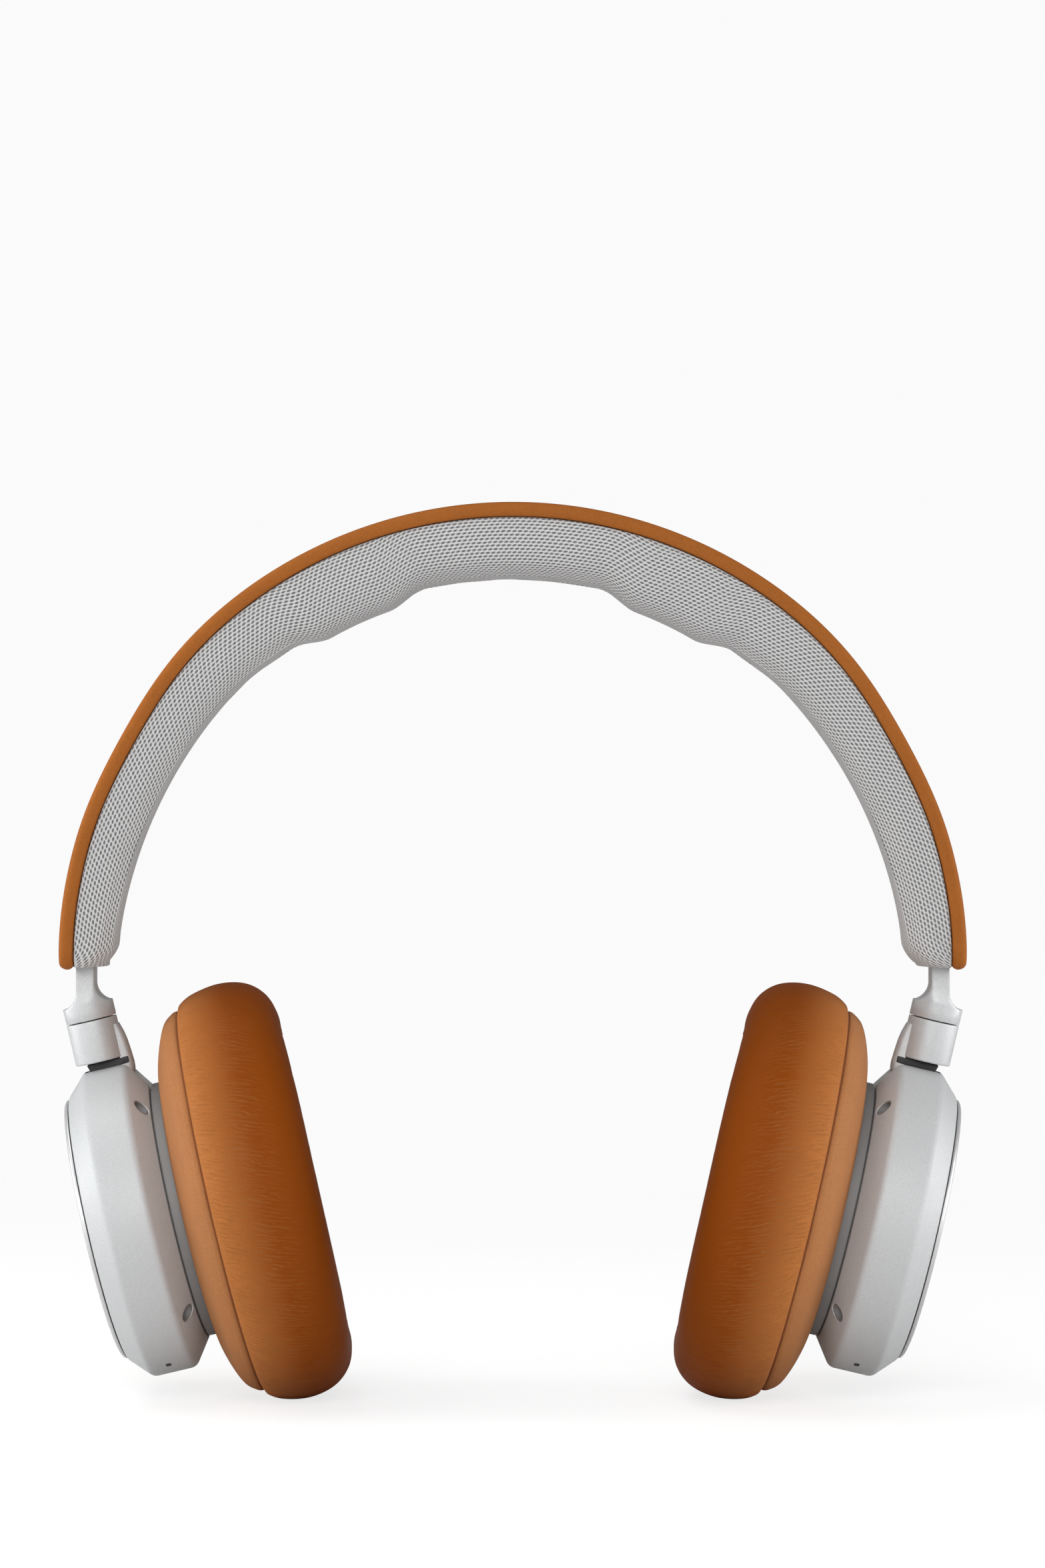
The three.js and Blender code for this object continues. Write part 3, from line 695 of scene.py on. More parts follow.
def swept(angles, section_at, along_radius, centre_index):
    """A closed sweep along the arch, with UVs in millimetres along it and out from its centre line."""
    sections = [section_at(degrees) for degrees in angles]
    points = np.array([arch_points(a, s) for a, s in zip(angles, sections)])
    uv = np.zeros((len(angles), points.shape[1] + 1, 2))
    for i, section in enumerate(sections):
        around = lengths_round(section)
        uv[i, :, 1] = around - around[centre_index]
        uv[i, :, 0] = math.radians(angles[i]) * along_radius
    return points, *tube(points, uv)


def end_distance(degrees, end_degrees, radius):
    """How far along the arch a station stands from the nearer end, in millimetres."""
    from_end = min(degrees, 180 - degrees) + end_degrees
    return math.radians(from_end) * radius


def corner_drop(distance, radius):
    """How much a round corner of that radius takes off at a distance from the end."""
    left = max(0.0, radius - distance)
    return radius - math.sqrt(max(0.0, radius * radius - left * left))


def both_flanks(start, flank, middle=()):
    """A section's corners from its start down one flank, past the middle and up the other one."""
    mirrored = [(a, -y, radius) for a, y, radius in flank]
    return [start, *mirrored, *middle, *flank[::-1]]


def leather_section(degrees):
    """The leather: gently crowned outside, rolled over a bead along both edges, thin in the middle."""
    distance = end_distance(degrees, LEATHER_END, BAND_RADIUS)
    half = band_half_width(degrees) - corner_drop(distance, 4.5)
    under = half - 2.7
    flank = [
        (LEATHER_WALL, under, 0.4), (RIM_DEPTH, under + 0.1, 0.5), (RIM_DEPTH, half, 1.5),
        (0, half, 1.6),
    ]
    corners = both_flanks((LEATHER_WALL, 0, 0.2), flank, [(0, 0, 0.2)])
    depth, y = rounded(corners, 6, 5).T
    crown = 0.35 * np.clip(1 - (y / half) ** 2, 0, 1) * smooth(LEATHER_WALL, 0, depth)
    middle = RIM_DEPTH / 2
    round_end = 1.55
    left = max(0.0, round_end - distance) / round_end
    thick = math.sqrt(max(0.0, 1 - left * left))
    depth = middle + (depth - crown - middle) * thick
    radius = band_radius(degrees) - depth
    return stacked(radius, y * (1 - 0.1 * (1 - thick)))


def pad_section(degrees):
    """The padding: soft flanks, round inner edges, and a groove behind the leather for the arm."""
    distance = end_distance(degrees, PAD_END_DEGREES, PAD_RADIUS)
    drop = PAD_END_RISE / PAD_END_ROUNDING * corner_drop(distance, PAD_END_ROUNDING)
    half = band_half_width(degrees) - corner_drop(distance, 2.5)
    outer = float(band_radius(degrees)) - PAD_DEPTH + 0.2
    inner = pad_inner_radius(degrees) + drop
    wall = min(inner, PAD_END_INNER)
    angle = math.radians(degrees)
    low = BAND_CENTRE_Z + POCKET_INNER * math.sin(angle) < POCKET_TOP_Z
    at_mouth = float(smooth(3.2, 1.2, distance))
    groove = outer - 0.4
    if low:
        groove = max(POCKET_INNER / abs(math.cos(angle)), wall + 0.5)
    groove_half = lerp(POCKET_HALF_WIDTH, STEM_HALF_WIDTH + GAP, at_mouth)
    middle = (outer + inner) / 2
    inner_edge = inner + 2.2
    round_inner = min(5.5, 0.4 * (outer - inner_edge))
    flank = [
        (groove, groove_half, 0.1), (outer, groove_half, 0.1), (outer, half - 0.8, 0.5),
        (outer - 1.8, half - 0.25, 1.5), (middle, half - 0.3, 2), (inner_edge, half - 1.9, round_inner),
        (wall, groove_half + 0.3, 3),
    ]
    corners = both_flanks((groove, 0, 0.1), flank)
    return rounded(corners, PAD_FACETS, PAD_FILL)


def puffed(points, faces, pinned, cap, pressure):
    """How far each point moves, in millimetres, when air presses the surface out like cloth.

    The cloth is simulated at ten times life size, where its settings behave, and no point moves more
    than cap.
    """
    grown = 10 * MM
    data = bpy.data.meshes.new("puff")
    data.from_pydata((points.reshape(-1, 3) * grown).tolist(), [], [list(f) for f in faces])
    cloth_piece = bpy.data.objects.new("puff", data)
    bpy.context.scene.collection.objects.link(cloth_piece)
    group = cloth_piece.vertex_groups.new(name="pinned")
    group.add(np.flatnonzero(pinned.ravel()).tolist(), 1.0, "REPLACE")
    cloth = cloth_piece.modifiers.new("Cloth", "CLOTH")
    cloth.settings.use_pressure = True
    cloth.settings.uniform_pressure_force = pressure
    cloth.settings.vertex_group_mass = "pinned"
    cloth.settings.effector_weights.gravity = 0
    cloth.settings.quality = 5
    for number in range(1, 21):
        bpy.context.scene.frame_set(number)
    shown = cloth_piece.evaluated_get(bpy.context.evaluated_depsgraph_get())
    after = np.zeros(len(data.vertices) * 3)
    shown.data.vertices.foreach_get("co", after)
    moved = after.reshape(points.shape) / grown - points
    bpy.context.scene.frame_set(1)
    bpy.data.objects.remove(cloth_piece)
    length = np.linalg.norm(moved, axis=-1, keepdims=True)
    return moved * (cap * np.tanh(length / cap) / np.maximum(length, 1e-9))


def resampled(field, rows, columns, wrap_rows, wrap_columns):
    """A grid of vectors read off at more rows and columns, straight between its own."""
    for axis, (count, wrap) in enumerate(((rows, wrap_rows), (columns, wrap_columns))):
        here = field.shape[axis]
        spot = np.arange(count) * (here / count if wrap else (here - 1) / (count - 1))
        low = np.floor(spot).astype(int) % here
        high = (low + 1) % here if wrap else np.minimum(low + 1, here - 1)
        share = (spot - np.floor(spot)).reshape([-1 if a == axis else 1 for a in range(field.ndim)])
        field = lerp(np.take(field, low, axis), np.take(field, high, axis), share)
    return field


def band_leather():
    angles = stations(LEATHER_END, 4, 12, 150)
    piece = mesh("headband_leather", *swept(angles, leather_section, BAND_RADIUS, 0))
    fitted(piece, "headband", "leather", BAND_LEATHER, "headband_cover")


def band_knit():
    """The knit padding, puffed out as cloth on a coarse mesh, then with soft dents at its folds."""
    per_corner = PAD_FACETS + 1 + PAD_FILL
    middle_of_inside = 7 * per_corner + PAD_FACETS + 1 + PAD_FILL // 2
    angles = stations(PAD_END_DEGREES, 5, 14, 220)
    points, faces, uv = swept(angles, pad_section, PAD_RADIUS, middle_of_inside)
    rows, columns = points.shape[:2]
    keep_rows = np.unique(np.linspace(0, rows - 1, 84).astype(int))
    keep_columns = np.arange(0, columns, 3)
    coarse = points[keep_rows][:, keep_columns]
    under_leather = (keep_columns < 4 * per_corner) | (keep_columns >= 12 * per_corner)
    pinned = np.broadcast_to(under_leather, coarse.shape[:2]).copy()
    pinned[:4] = True
    pinned[-4:] = True
    moved = puffed(coarse, tube(coarse)[0], pinned, 0.5, 14)
    points = points + resampled(moved, rows, columns, False, True)
    angle = np.degrees(np.arctan2(points[..., 2] - BAND_CENTRE_Z, -points[..., 0]))
    radius = np.hypot(points[..., 0], points[..., 2] - BAND_CENTRE_Z)
    folds = sum(amount * np.exp(-(((angle - fold) / 1.6) ** 2)) for fold, amount in PAD_FOLDS)
    outward = np.sign(points[..., 1]) * smooth(4, 12, np.abs(points[..., 1]))
    points[..., 1] -= outward * folds * smooth(92, 80, radius)
    piece = mesh("headband_knit", points, faces, uv)
    fitted(piece, "headband", "knit", KNIT, "headband_pad")


# ---------------------------------------------------------------- arms and hinges


def arm_edges():
    """The arm's outer and inner edge in side view, as matching points of (x, z) from the knuckle up."""
    tips = [
        in_cup((SLEEVE_AXIS + sign * SLEEVE_RADIUS, 0, KNUCKLE_TOP))[[0, 2]] for sign in (-1, 1)
    ]
    edges = []
    for tip, sign, radius, stem in ((tips[0], -1, 4.0, STEM_OUTER), (tips[1], 1, 3.6, STEM_INNER)):
        centre_x = -stem + sign * radius
        centre_z = tip[1] + math.sqrt(radius**2 - (tip[0] - centre_x) ** 2)
        start = math.atan2(tip[1] - centre_z, tip[0] - centre_x)
        end = 0 if sign < 0 else -math.pi
        if sign > 0 and start > 0:
            start -= TURN
        sweep = np.linspace(start, end, 25)
        scoop = stacked(centre_x + radius * np.cos(sweep), centre_z + radius * np.sin(sweep))
        rise = np.linspace(0, 1, 40)[1:]
        height = lerp(scoop[-1, 1], BAND_CENTRE_Z + 27, rise)
        above = np.maximum(0, height - BAND_CENTRE_Z) / 27
        lean = (4.2 if sign < 0 else 2.8) * above ** (1.7 if sign < 0 else 2.6)
        edges.append(np.vstack([scoop, stacked(-stem + lean, height)]))
    return edges


def arm(side):
    """A round knuckle that a scoop each side narrows to a flat stem, as a loft of rounded sections."""
    facets = 96
    squareness = 15
    turn = np.arange(facets) / facets * TURN
    cos, sin = np.cos(turn), np.sin(turn)
    loops = []
    for height, shrink in ((44.55, 0.12), (44.58, 0.04), (44.65, 0), (46.5, 0)):
        radius = SLEEVE_RADIUS - shrink
        loops.append(in_cup(stacked(SLEEVE_AXIS + radius * cos, radius * sin, height)))
    outer_edge, inner_edge = arm_edges()
    for k, (outer, inner) in enumerate(zip(outer_edge, inner_edge)):
        middle = (outer + inner) / 2
        reach = np.linalg.norm(inner - outer) / 2
        direction = (inner - outer) / (2 * reach)
        n = (middle[0] + CUP_X) * math.cos(CUP_TILT) + (middle[1] - CUP_Z) * math.sin(CUP_TILT)
        aside = n - SLEEVE_AXIS
        flat = float(smooth(85.2, 89, middle[1]))
        round_reach = -aside * cos + np.sqrt(SLEEVE_RADIUS**2 - np.minimum(aside**2, 20) * sin**2)
        flat_reach = STEM_HALF_WIDTH / np.maximum(np.abs(sin), 1e-4)
        slab_reach = reach / np.maximum(np.abs(cos), 1e-4)
        total = (1 - flat) * round_reach**-squareness + flat * flat_reach**-squareness
        total = total + float(smooth(0, 3, k)) * slab_reach**-squareness
        radius = total ** (-1 / squareness)
        x = middle[0] + radius * cos * direction[0]
        z = middle[1] + radius * cos * direction[1]
        loops.append(stacked(x, radius * sin, z))
    points = np.array(loops)
    along = np.cumsum(np.concatenate([[0], np.linalg.norm(np.diff(points[:, 0], axis=0), axis=1)]))
    uv = stacked(along[:, None], np.arange(facets + 1) * 0.35)
    piece = mesh(f"{side}_slim_arm", points, *tube(points, uv), side, 45)
    fitted(piece, f"{side}_arm", "aluminium", ALUMINIUM, f"{side}_arm")


def sleeve(side):
    """The sleeve under the knuckle, turned about the swivel axis."""
    corners = [
        (4.3, SLEEVE_BOTTOM, 0.15), (SLEEVE_RADIUS, SLEEVE_BOTTOM, 0.4),
        (SLEEVE_RADIUS, SLEEVE_TOP, 0.12), (2.2, SLEEVE_TOP, 0.1), (2.2, SLEEVE_BOTTOM + 3, 0.1),
        (4.3, SLEEVE_BOTTOM + 3, 0.1),
    ]
    outline = rounded(corners, 5)
    points, uv = lathe(outline, 128)
    height, y, reach = np.moveaxis(points, -1, 0)
    upright = in_cup(stacked(SLEEVE_AXIS + reach, -y, height))
    piece = mesh(f"{side}_sleeve", upright, *grid_faces(points, True, True, uv), side, 50)
    fitted(piece, f"{side}_swivel", "aluminium", ALUMINIUM, f"{side}_swivel_sleeve")


def hinge_fin(side):
    """The hinge's fin: rounded sections that grow out of the sleeve's inner side, from the top down."""
    heights = np.array([42.5, 40.5, 38.7, 36, 33.6, 32.2, 31.5, 31.3])
    reaches = np.array([9.65, 10.25, 10.6, 10.85, 11, 10.9, 10.6, 10.3])
    root = SLEEVE_AXIS + SLEEVE_RADIUS - 1.1
    loops = []
    for height in np.linspace(heights[0], heights[-1], 40):
        reach = np.interp(-height, -heights, reaches)
        half = BRACKET_HALF_WIDTH
        corners = [
            (root, -half, 0.1), (reach - 0.15, -half + 0.35, 1.3), (reach, 0, 1),
            (reach - 0.15, half - 0.35, 1.3), (root, half, 0.1),
        ]
        outline = rounded(corners, 6, 2)
        loops.append(stacked(*outline.T, height))
    return loft(f"{side}_hinge_fin", loops, side)


def bracket(side):
    """The hinge: a pale fin up the sleeve's inner side, on a dark lug that the cup tilts on; the lug's
    dark is partly its own plastic, partly painted shade of the gap under the sleeve.
    """
    fitted(hinge_fin(side), f"{side}_swivel", "housing", ALUMINIUM, f"{side}_hinge_bracket")
    lug_corners = [
        (1.4, 25.8, 1.6), (7.8, 25.8, 1.6), (7.8, 33.5, 0.4), (10.1, 33.8, 0.3), (10.1, 35.15, 0.2),
        (0.9, 35.15, 0.4), (1.4, 33.6, 0.4),
    ]
    lug = plate(f"{side}_hinge_lug", rounded(lug_corners, 6), BRACKET_HALF_WIDTH, side)
    turn = np.arange(32) / 32 * TURN
    bore = [(4.6 + 1.75 * math.cos(t), 29.4 + 1.75 * math.sin(t)) for t in turn]
    carve(lug, [plate("bore", bore, 5, side)])
    # dark: partly the lug's own plastic, partly painted shade of the gap under the sleeve
    fitted(softened(lug, 0.15), f"{side}_swivel", "dark_plastic", DARK_PLASTIC)


# ---------------------------------------------------------------- the cups


def housing(side):
    """The aluminium shell: bevel, drum and cone, with soft edges and its slots and holes."""
    corners = [
        (27.2, -4.4, 0.2), (29.2, -4.4, 0.35), (DRUM_RADIUS, 0, 0.9),
        (DRUM_RADIUS, DRUM_DEPTH, 1.1), (28.2, 13.2, 0.3), (26.9, 13.2, 0.2), (26.9, 11.9, 0.2),
        (32.2, 8.6, 0.3), (32.2, 0.8, 0.3), (28.4, -2.8, 0.2), (27.2, -2.8, 0.1),
    ]
    outline = rounded(corners, 5)
    shell = ring(f"{side}_shell", outline, side, 240, 35)
    cutters = [block("cutter", 7.1, 6.9, BRACKET_HALF_WIDTH + 0.4, 0.5, 24.8, 36, 0, side)]
    cutters += [bar("cutter", 1.8, 9.4, 13.6, turn, side) for turn in SCREW_TURNS]
    microphone = (MICROPHONE_N, 0.6, MICROPHONE_HALF, 0.58)
    cutters.append(block("cutter", *microphone, 30, 36, MICROPHONE_TURN, side))
    if side == "left":
        cutters.append(block("cutter", HALF_DRUM, 2.1, 6.3, 2.05, 28, 36, BACK_TURN, side))
    else:
        cutters.append(block("cutter", HALF_DRUM, 1.5, 5.2, 1.45, 28, 36, BACK_TURN, side))
        cutters.append(block("cutter", HALF_DRUM, 1.9, 4.9, 1.85, 28, 36, CHARGING_TURN, side))
        cutters.append(bar("cutter", 3.3, 28, 36, AUDIO_TURN, side, True))
    carve(shell, cutters)
    fitted(shell, f"{side}_cup", "housing", HOUSING, f"{side}_cup_housing")


def microphone_grille(side):
    """A dark grille just below the surface of the microphone's slot."""
    size = (MICROPHONE_N, 0.55, MICROPHONE_HALF - 0.05, 0.53)
    name = f"{side}_microphone_grille"
    grille = block(name, *size, 32, DRUM_RADIUS - 0.12, MICROPHONE_TURN, side)
    fitted(softened(grille, 0.1, 2), f"{side}_cup", "dark_plastic", DARK_PLASTIC)


def disc(side):
    """The touch disc: a shallow dish inside a bright turned edge."""
    corners = [
        (0, -4.95, 0), (14, -5.05, 9), (26.4, -5.55, 1.2), (28.0, -5.62, 0.4),
        (DISC_RADIUS, -5.1, 0.25), (DISC_RADIUS, -4.7, 0.1), (26.8, -4.7, 0.1), (26.8, -3.4, 0.1),
        (0, -3.4, 0),
    ]
    outline = rounded(corners, 6, 3)
    piece = ring(f"{side}_disc", outline, side, 240, 35)
    fitted(piece, f"{side}_cup", "aluminium", SPUN, f"{side}_touch_disc")


def collar(side):
    """The grey neck between the housing and the skirt."""
    corners = [
        (26.6, 11, 0.1), (26.6, 13.5, 0.05), (NECK_RADIUS, 13.5, 0.3), (NECK_RADIUS, 16.1, 0.3),
        (25, 16.1, 0.1), (25, 11, 0.1),
    ]
    outline = rounded(corners, 4, 1)
    piece = ring(f"{side}_neck", outline, side, 192)
    fitted(piece, f"{side}_cup", "collar", COLLAR, f"{side}_collar")


def skirt(side):
    """The leather skirt that the cushion is sewn to, from the neck out to the seam."""
    outside = curve_through(
        [(28.3, 15.6), (32.6, 16.25), (36.9, 17.6), (40.1, 19.2), (41.7, 21.2), (42.0, 22.2)], 7
    )
    tuck = [(41.75, 22.62), (41.2, 22.7)]
    inside = curve_through([(40.2, 21.6), (36.2, 18.9), (32.2, 17.6), (28.3, 16.8)], 4)
    outline = np.vstack([outside, tuck, inside])
    facets = 320
    points, uv = lathe(outline, facets)
    turn = np.arange(facets) / facets * TURN
    for i, angle in enumerate(turn):
        around = Vector((3.2 * math.cos(angle), 3.2 * math.sin(angle), 7.0 * len(side)))
        points[i, :, 0] += 0.1 * noise.noise(around) * smooth(28.5, 36, outline[:, 0])
    piece = mesh(f"{side}_skirt", in_cup(points), *grid_faces(points, True, True, uv), side, 60)
    fitted(piece, f"{side}_cup", "leather", SKIRT_LEATHER, f"{side}_cushion_skirt")


def seam(side):
    """The sewn seam: a thin cord in the groove between skirt and cushion, dark partly as the thread's own
    brown and partly as painted shade of the groove.
    """
    corners = [(41.0, 22.5, 0.1), (41.95, 22.55, 0.15), (41.95, 22.9, 0.15), (41.0, 22.95, 0.1)]
    outline = rounded(corners, 4)
    piece = ring(f"{side}_seam", outline, side, 240, 60)
    fitted(piece, f"{side}_cup", "leather", SEAM_THREAD_AND_SHADE)


# The cushion's section in (radius, n), from its seam to its face; inside, radii go on from the opening
CUSHION_OUTSIDE = [
    (42.3, 22.85), (43.4, 23.5), (44.75, 26.2), (45.65, 32), (44.5, 37.7), (41.4, 41.5), (37, 43.0),
    (33, 43.35),
]
CUSHION_INSIDE = [
    (6.2, 43.2), (3.6, 42.5), (1.5, 41.0), (0.4, 38.6), (0, 35), (0.1, 30), (0.6, 25.5), (0.9, 23.5),
]


def wedged(points):
    """Slants the face that meets the head: the cushion is thicker at the front than at the back."""
    depth = np.maximum(0, points[..., 0] - CUSHION_BACK) / (CUSHION_FACE - CUSHION_BACK)
    points[..., 0] += depth * (CUSHION_LEAN * points[..., 2] - CUSHION_WEDGE * points[..., 1])
    return points


def cushion_grid(turns, steps):
    """The cushion before it is puffed: points round the ear axis and across its section, and UVs."""
    outside = curve_through(CUSHION_OUTSIDE, steps)
    inside = curve_through(CUSHION_INSIDE, steps)
    back = np.linspace(0, 1, steps + 1)[1:-1, None]
    across = np.linspace(0, 1, steps + 2)[1:-1, None]
    rows = []
    for angle in np.arange(turns) / turns * TURN:
        opening = 1 / math.hypot(math.cos(angle) / EAR_HALF_HEIGHT, math.sin(angle) / EAR_HALF_WIDTH)
        inner = inside + [opening, 0]
        face = lerp(outside[-1], inner[0], across)
        closing = lerp(inner[-1], outside[0], back)
        radius, n = np.vstack([outside, face, inner, closing]).T
        rows.append(stacked(n, -radius * math.sin(angle), radius * math.cos(angle)))
    points = np.array(rows)
    lengths = np.array([lengths_round(row) for row in points])
    uv = np.zeros((turns + 1, points.shape[1] + 1, 2))
    uv[:, :, 1] = lengths[np.arange(turns + 1) % turns]
    uv[:, :, 0] = (np.arange(turns + 1) / turns * TURN * CUSHION_UV_RADIUS)[:, None]
    return wedged(points), uv


def cushion(side):
    """A plump leather ring with an oval opening, puffed as cloth, and flat where it stands."""
    points, uv = cushion_grid(400, 9)
    coarse, _ = cushion_grid(100, 3)
    faces = grid_faces(coarse, True, True)[0].tolist()
    moved = puffed(coarse, faces, coarse[..., 0] < 25, 0.2, 12)
    points = points + resampled(moved, *points.shape[:2], True, True)
    points = ruffled(points, side)
    places = in_cup(points)
    places[..., 2] = np.maximum(places[..., 2], 0.02)
    piece = mesh(f"{side}_cushion", places, *grid_faces(points, True, True, uv), side, 80)
    fitted(piece, f"{side}_cup", "cushion_leather", CUSHION_LEATHER, f"{side}_ear_cushion")


def ruffled(points, side):
    """Small uneven swells and shallow creases over the cushion's outside, none at its seam."""
    flat = points.reshape(-1, 3).copy()
    seed = 11.0 if side == "left" else 47.0
    radius = np.hypot(flat[:, 1], flat[:, 2])
    turn = np.arctan2(-flat[:, 1], flat[:, 2])
    fade = smooth(23.2, 27, flat[:, 0]) * smooth(EAR_HALF_WIDTH + 2, EAR_HALF_HEIGHT + 4, radius)
    for i in range(len(flat)):
        if fade[i] < 0.01:
            continue
        around = turn[i] * 45
        swell = noise.noise(Vector((flat[i, 0] * 0.07, around * 0.05, seed)))
        crease = noise.noise(Vector((flat[i, 0] * 0.06, around * 0.42, seed + 5)))
        out = fade[i] * (0.16 * swell + 0.07 * crease)
        flat[i, 1:] *= 1 + out / max(radius[i], 1)
        flat[i, 0] += 0.4 * out * float(flat[i, 0] > 36)
    return flat.reshape(points.shape)


def ear_cloth(side):
    """The cloth inside the ear opening: an oval that sags a little over the driver."""
    turns = 128
    turn = np.arange(turns) / turns * TURN
    loops = []
    for share in np.linspace(0.02, 1, 24):
        sag = 23.85 - 0.35 * (1 - share * share)
        y = -np.sin(turn) * (EAR_HALF_WIDTH - 0.35) * share
        u = np.cos(turn) * (EAR_HALF_HEIGHT - 0.35) * share
        loops.append(stacked(sag, y, u))
    front = np.array(loops)
    rear = front[::-1].copy()
    rear[..., 0] -= 0.35
    points = np.concatenate([front, rear])
    uv = np.concatenate([points, points[:, :1]], axis=1)[..., 1:]
    piece = mesh(f"{side}_ear_cloth", in_cup(points), *tube(points, uv), side, 60)
    fitted(piece, f"{side}_cup", "mesh_cloth", CLOTH, f"{side}_acoustic_mesh")


def screws(side):
    """Pan head screws with a six-sided recess, one at the bottom of each sunk hole; their dark finish is
    partly painted shade of the hole.
    """
    radii = [(0.85, 0), (0.85, 0.75), (1.7, 0.75), (1.7, 0.96), (1.55, 1)]
    for i, turn in enumerate(SCREW_TURNS):
        piece = bar(f"{side}_screw_{i + 1}", radii, 5, 10.3, turn, side)
        carve(piece, [bar("cutter", [(0.75, 0), (0.8, 1)], 9.5, 11, turn, side, facets=6)])
        fitted(piece, f"{side}_cup", "steel", DARK_STEEL_AND_HOLE_SHADE, f"{side}_cup_screw_{i + 1}")


def screw_hole_shades(side):
    """A grey sleeve round the wall of each sunk screw hole, ending just under the cone: painted shade
    that keeps the hole dark inside.
    """
    above_cone = [(33.75, 9.05), (28.1, 13.05), (24, 13.05), (24, 20), (40, 20), (40, 9.05)]
    for i, turn in enumerate(SCREW_TURNS):
        # painted shade: the sleeve stands for the shade inside the hole
        piece = bar(f"{side}_screw_hole_shade_{i + 1}", 1.78, 10.4, 13.6, turn, side)
        bore = bar("cutter", 1.4, 10, 14, turn, side)
        carve(piece, [bore, ring("cutter", np.array(above_cone), side, 240)])
        fitted(piece, f"{side}_cup", "housing", COLLAR)


def key(name, half_n, half_y, start, end, side, dish=0.0, ridge=0.0):
    """A round-ended block that stands out of the drum's back, for a button or a switch, with a dished
    top or with ridges across it."""
    outline = oblong(HALF_DRUM, half_n, half_y, half_n * 0.96, 8, 6)
    centre = np.array([HALF_DRUM, 0])
    edge = [(1, start), (1, end - 0.35), (0.97, end - 0.12), (0.9, end)]
    loops = []
    for scale, height in edge + [(0.7, end), (0.4, end), (0.05, end)]:
        flat = centre + (outline - centre) * scale
        if scale < 0.9:
            height += ridge * np.cos(flat[:, 1] * TURN / 1.1) - dish * (1 - scale)
        loops.append(stacked(*flat.T, height))
    return loft(name, loops, side, BACK_TURN)


def controls():
    """The push button at the back of the left cup; the switch and both sockets of the right one. The
    switch rests at the lower end of its slot."""
    button = key("left_button", 1.8, 6, 30.2, 34.3, "left", dish=0.3)
    fitted(button, "push_button", "aluminium", BUTTON_METAL, "left_push_button")
    switch = key("right_switch", 1.2, 2.3, 30, 34.5, "right", ridge=0.12)
    down = in_cup((0, 0, -2.5)) - in_cup((0, 0, 0))
    switch.data.transform(Matrix.Translation(Vector((-down[0], down[1], down[2])) * MM))
    fitted(switch, "power_switch", "aluminium", BUTTON_METAL, "right_power_switch")
    charging_socket()
    audio_socket()


def charging_socket():
    """A flattened steel mouth with a dark tongue inside."""
    place = (CHARGING_TURN, "right")
    shell = block("right_charging_mouth", HALF_DRUM, 1.6, 4.6, 1.55, 27, 33.3, *place)
    carve(shell, [block("cutter", HALF_DRUM, 1.25, 4.25, 1.2, 28, 35, *place)])
    fitted(shell, "right_cup", "steel", STEEL, "right_charging_socket")
    tongue = block("right_charging_tongue", HALF_DRUM, 0.35, 3.3, 0.3, 27.6, 32.6, *place)
    fitted(softened(tongue, 0.1, 2), "right_cup", "dark_plastic", DARK_PLASTIC)


def audio_socket():
    """A round dark bush with a bright contact sleeve inside."""
    place = (AUDIO_TURN, "right", True)
    bush = bar("right_audio_bush", [(3, 0), (3, 0.96), (2.85, 1)], 24, 33.4, *place)
    carve(bush, [bar("cutter", [(1.75, 0), (1.75, 0.93), (2.1, 1)], 25, 33.5, *place)])
    fitted(bush, "right_cup", "dark_plastic", DARK_PLASTIC, "right_audio_socket")
    contact = bar("right_audio_contact", 1.7, 26, 32.6, *place)
    carve(contact, [bar("cutter", 1.45, 27, 34, *place)])
    fitted(contact, "right_cup", "steel", STEEL)


INNER_FINISHES = (
    (STEEL, ("headband_spring", "swivel_pin", "retaining_washer", "tilt_pin", "driver_magnet")),
    (RUBBER, ("headband_ribbon_lead", "friction_pad")),
    (DARK_PLASTIC, ("slider_guide", "driver_basket", "baffle", "pad_frame", "microphone")),
    (BOARD, ("circuit_board",)),
    (FILM, ("diaphragm",)),
    (CELL, ("battery",)),
)


def dress_inner_parts():
    """The CAD pieces that stay as they are get their finishes."""
    for name, node in frame["nodes"].items():
        plain = name.removeprefix("left_").removeprefix("right_")
        for material, names in INNER_FINISHES:
            if plain in names:
                node.data.materials.clear()
                node.data.materials.append(material)


# ---------------------------------------------------------------- stage, light and camera


def soft_light(name, place, aim, width, height, power):
    data = bpy.data.lights.new(name, "AREA")
    data.shape = "RECTANGLE"
    data.size = width
    data.size_y = height
    data.energy = power
    light = bpy.data.objects.new(name, data)
    light.location = place
    light.rotation_euler = (Vector(aim) - Vector(place)).to_track_quat("-Z", "Y").to_euler()
    bpy.context.scene.collection.objects.link(light)
    return light


def kept_to(light, start_of_name):
    """Keeps a lamp to the pieces whose names start so, as dark cards beside it would."""
    lit = bpy.data.collections.new(f"{start_of_name}_lit")
    for piece in bpy.context.scene.objects:
        if piece.type == "MESH" and piece.name.startswith(start_of_name):
            lit.objects.link(piece)
    light.light_linking.receiver_collection = lit


def sweep_sheet():
    """A pale sheet on the floor that curves up behind the headphones, in metres until it is a mesh."""
    bend = np.linspace(0.06, 1, 16) * math.pi / 2
    depth = np.concatenate([np.linspace(-2.5, 1.6, 12), 1.6 + 0.9 * np.sin(bend), [2.5]])
    rise = np.concatenate([np.zeros(12), 0.9 * (1 - np.cos(bend)), [4.5]])
    points = np.array([[(x, y, z - 0.0001) for y, z in zip(depth, rise)] for x in (-4, -1, 1, 4)])
    return mesh("floor", points / MM, grid_faces(points)[0], sharp=60)


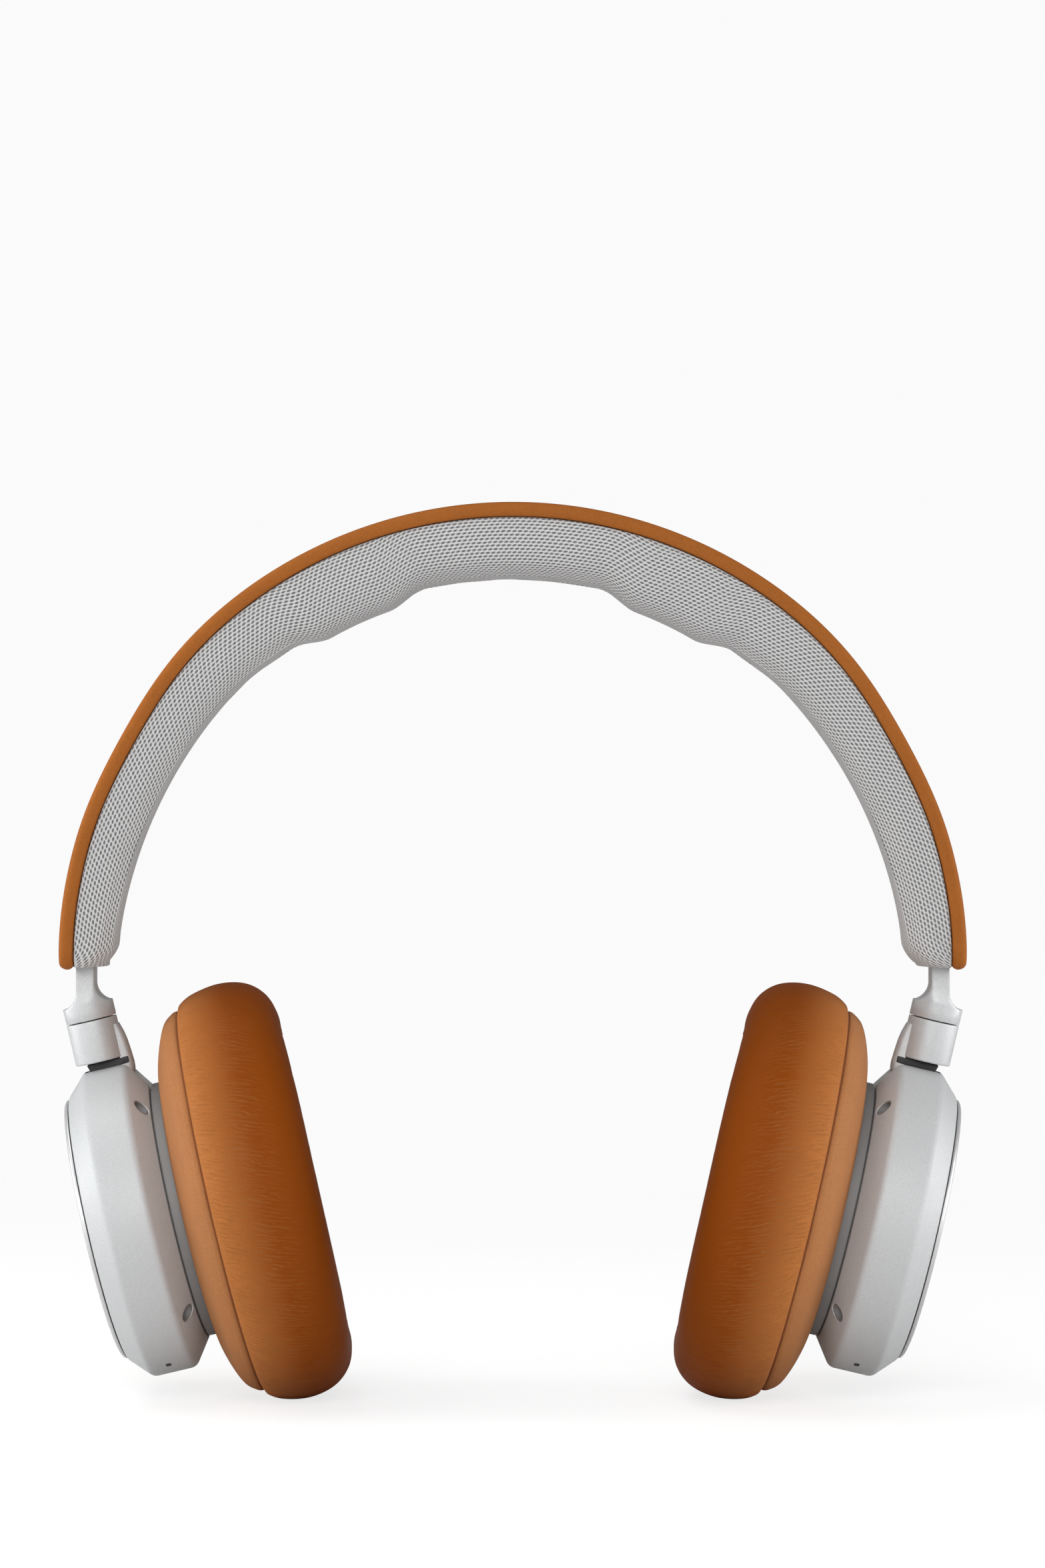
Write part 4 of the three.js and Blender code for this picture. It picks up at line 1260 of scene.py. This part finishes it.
def luminous_paper():
    """A softly glowing sheet: evenly white far off, half lit by the lamps where the cups stand."""
    finish = Finish("luminous_paper", Roughness=0.95, Specular_IOR_Level=0.05)
    distance = finish.add("VectorMath", {0: finish.millimetres()}, operation="LENGTH").outputs["Value"]
    far = finish.between(distance, 220, 700)
    tooth = finish.noise(finish.millimetres(), 0.6, 3)
    seen = finish.mixed(tooth, (0.35,) * 3, (0.37,) * 3)
    seen = finish.mixed(far, seen, (0, 0, 0))
    camera_ray = finish.add("LightPath").outputs["Is Camera Ray"]
    finish.colour(finish.mixed(camera_ray, (FLOOR_BOUNCE,) * 3, seen))
    glow = finish.mixed(far, (FLOOR_GLOW,) * 3, (PAPER_WHITE,) * 3)
    glow = finish.mixed(camera_ray, (0, 0, 0), glow)
    finish.tree.links.new(glow, finish.shader.inputs["Emission Color"])
    finish.shader.inputs["Emission Strength"].default_value = 1.0
    return finish.material


def studio():
    """The sheet in a dim room, with soft boxes above, in front and at both sides."""
    floor = sweep_sheet()
    floor.data.materials.append(luminous_paper())
    world = bpy.data.worlds.new("room")
    world.use_nodes = True
    camera_ray = world.node_tree.nodes.new("ShaderNodeLightPath").outputs["Is Camera Ray"]
    brightness = world.node_tree.nodes.new("ShaderNodeMapRange")
    brightness.inputs["To Min"].default_value = ROOM_LIGHT
    brightness.inputs["To Max"].default_value = PAPER_WHITE
    world.node_tree.links.new(camera_ray, brightness.inputs["Value"])
    background = world.node_tree.nodes["Background"]
    background.inputs["Color"].default_value = (1, 1, 1, 1)
    world.node_tree.links.new(brightness.outputs[0], background.inputs["Strength"])
    bpy.context.scene.world = world
    middle = (0, 0, 0.09)
    soft_light("top_box", (-0.45, -0.1, 1.1), middle, 0.9, 0.7, 4.6)
    soft_light("front_box", (-0.05, -1.05, 0.5), middle, 0.6, 0.5, 4.9)
    for side, sign in (("left", -1), ("right", 1)):
        soft_light(f"{side}_strip", (sign * 0.8, 0.05, 0.15), middle, 0.3, 0.3, 2.5)
        own = soft_light(f"{side}_box", (sign * 0.75, -0.75, 0.28), middle, 0.5, 0.5, 2.6)
        kept_to(own, side)
        inner = soft_light(f"{side}_inner_box", (-sign * 0.4, -0.9, 0.2), middle, 0.5, 0.5, 1.4)
        kept_to(inner, f"{side}_cushion")


def camera():
    """A long lens level with the band, shifted down to hold the cups."""
    data = bpy.data.cameras.new("camera")
    data.sensor_width = 36
    data.lens = CAMERA_LENS
    data.shift_y = CAMERA_SHIFT
    data.clip_start = 0.05
    data.clip_end = 20
    view = bpy.data.objects.new("camera", data)
    view.location = Vector(CAMERA_PLACE) * MM
    view.rotation_euler = (math.pi / 2, 0, 0)
    bpy.context.scene.collection.objects.link(view)
    bpy.context.scene.camera = view


band_leather()
band_knit()
for each_side in SIDES:
    for build in (arm, sleeve, bracket, housing, microphone_grille, disc, collar, skirt, seam):
        build(each_side)
    for build in (cushion, ear_cloth, screws, screw_hole_shades):
        build(each_side)
controls()
dress_inner_parts()
studio()
camera()
bpy.context.scene.view_settings.view_transform = "Standard"
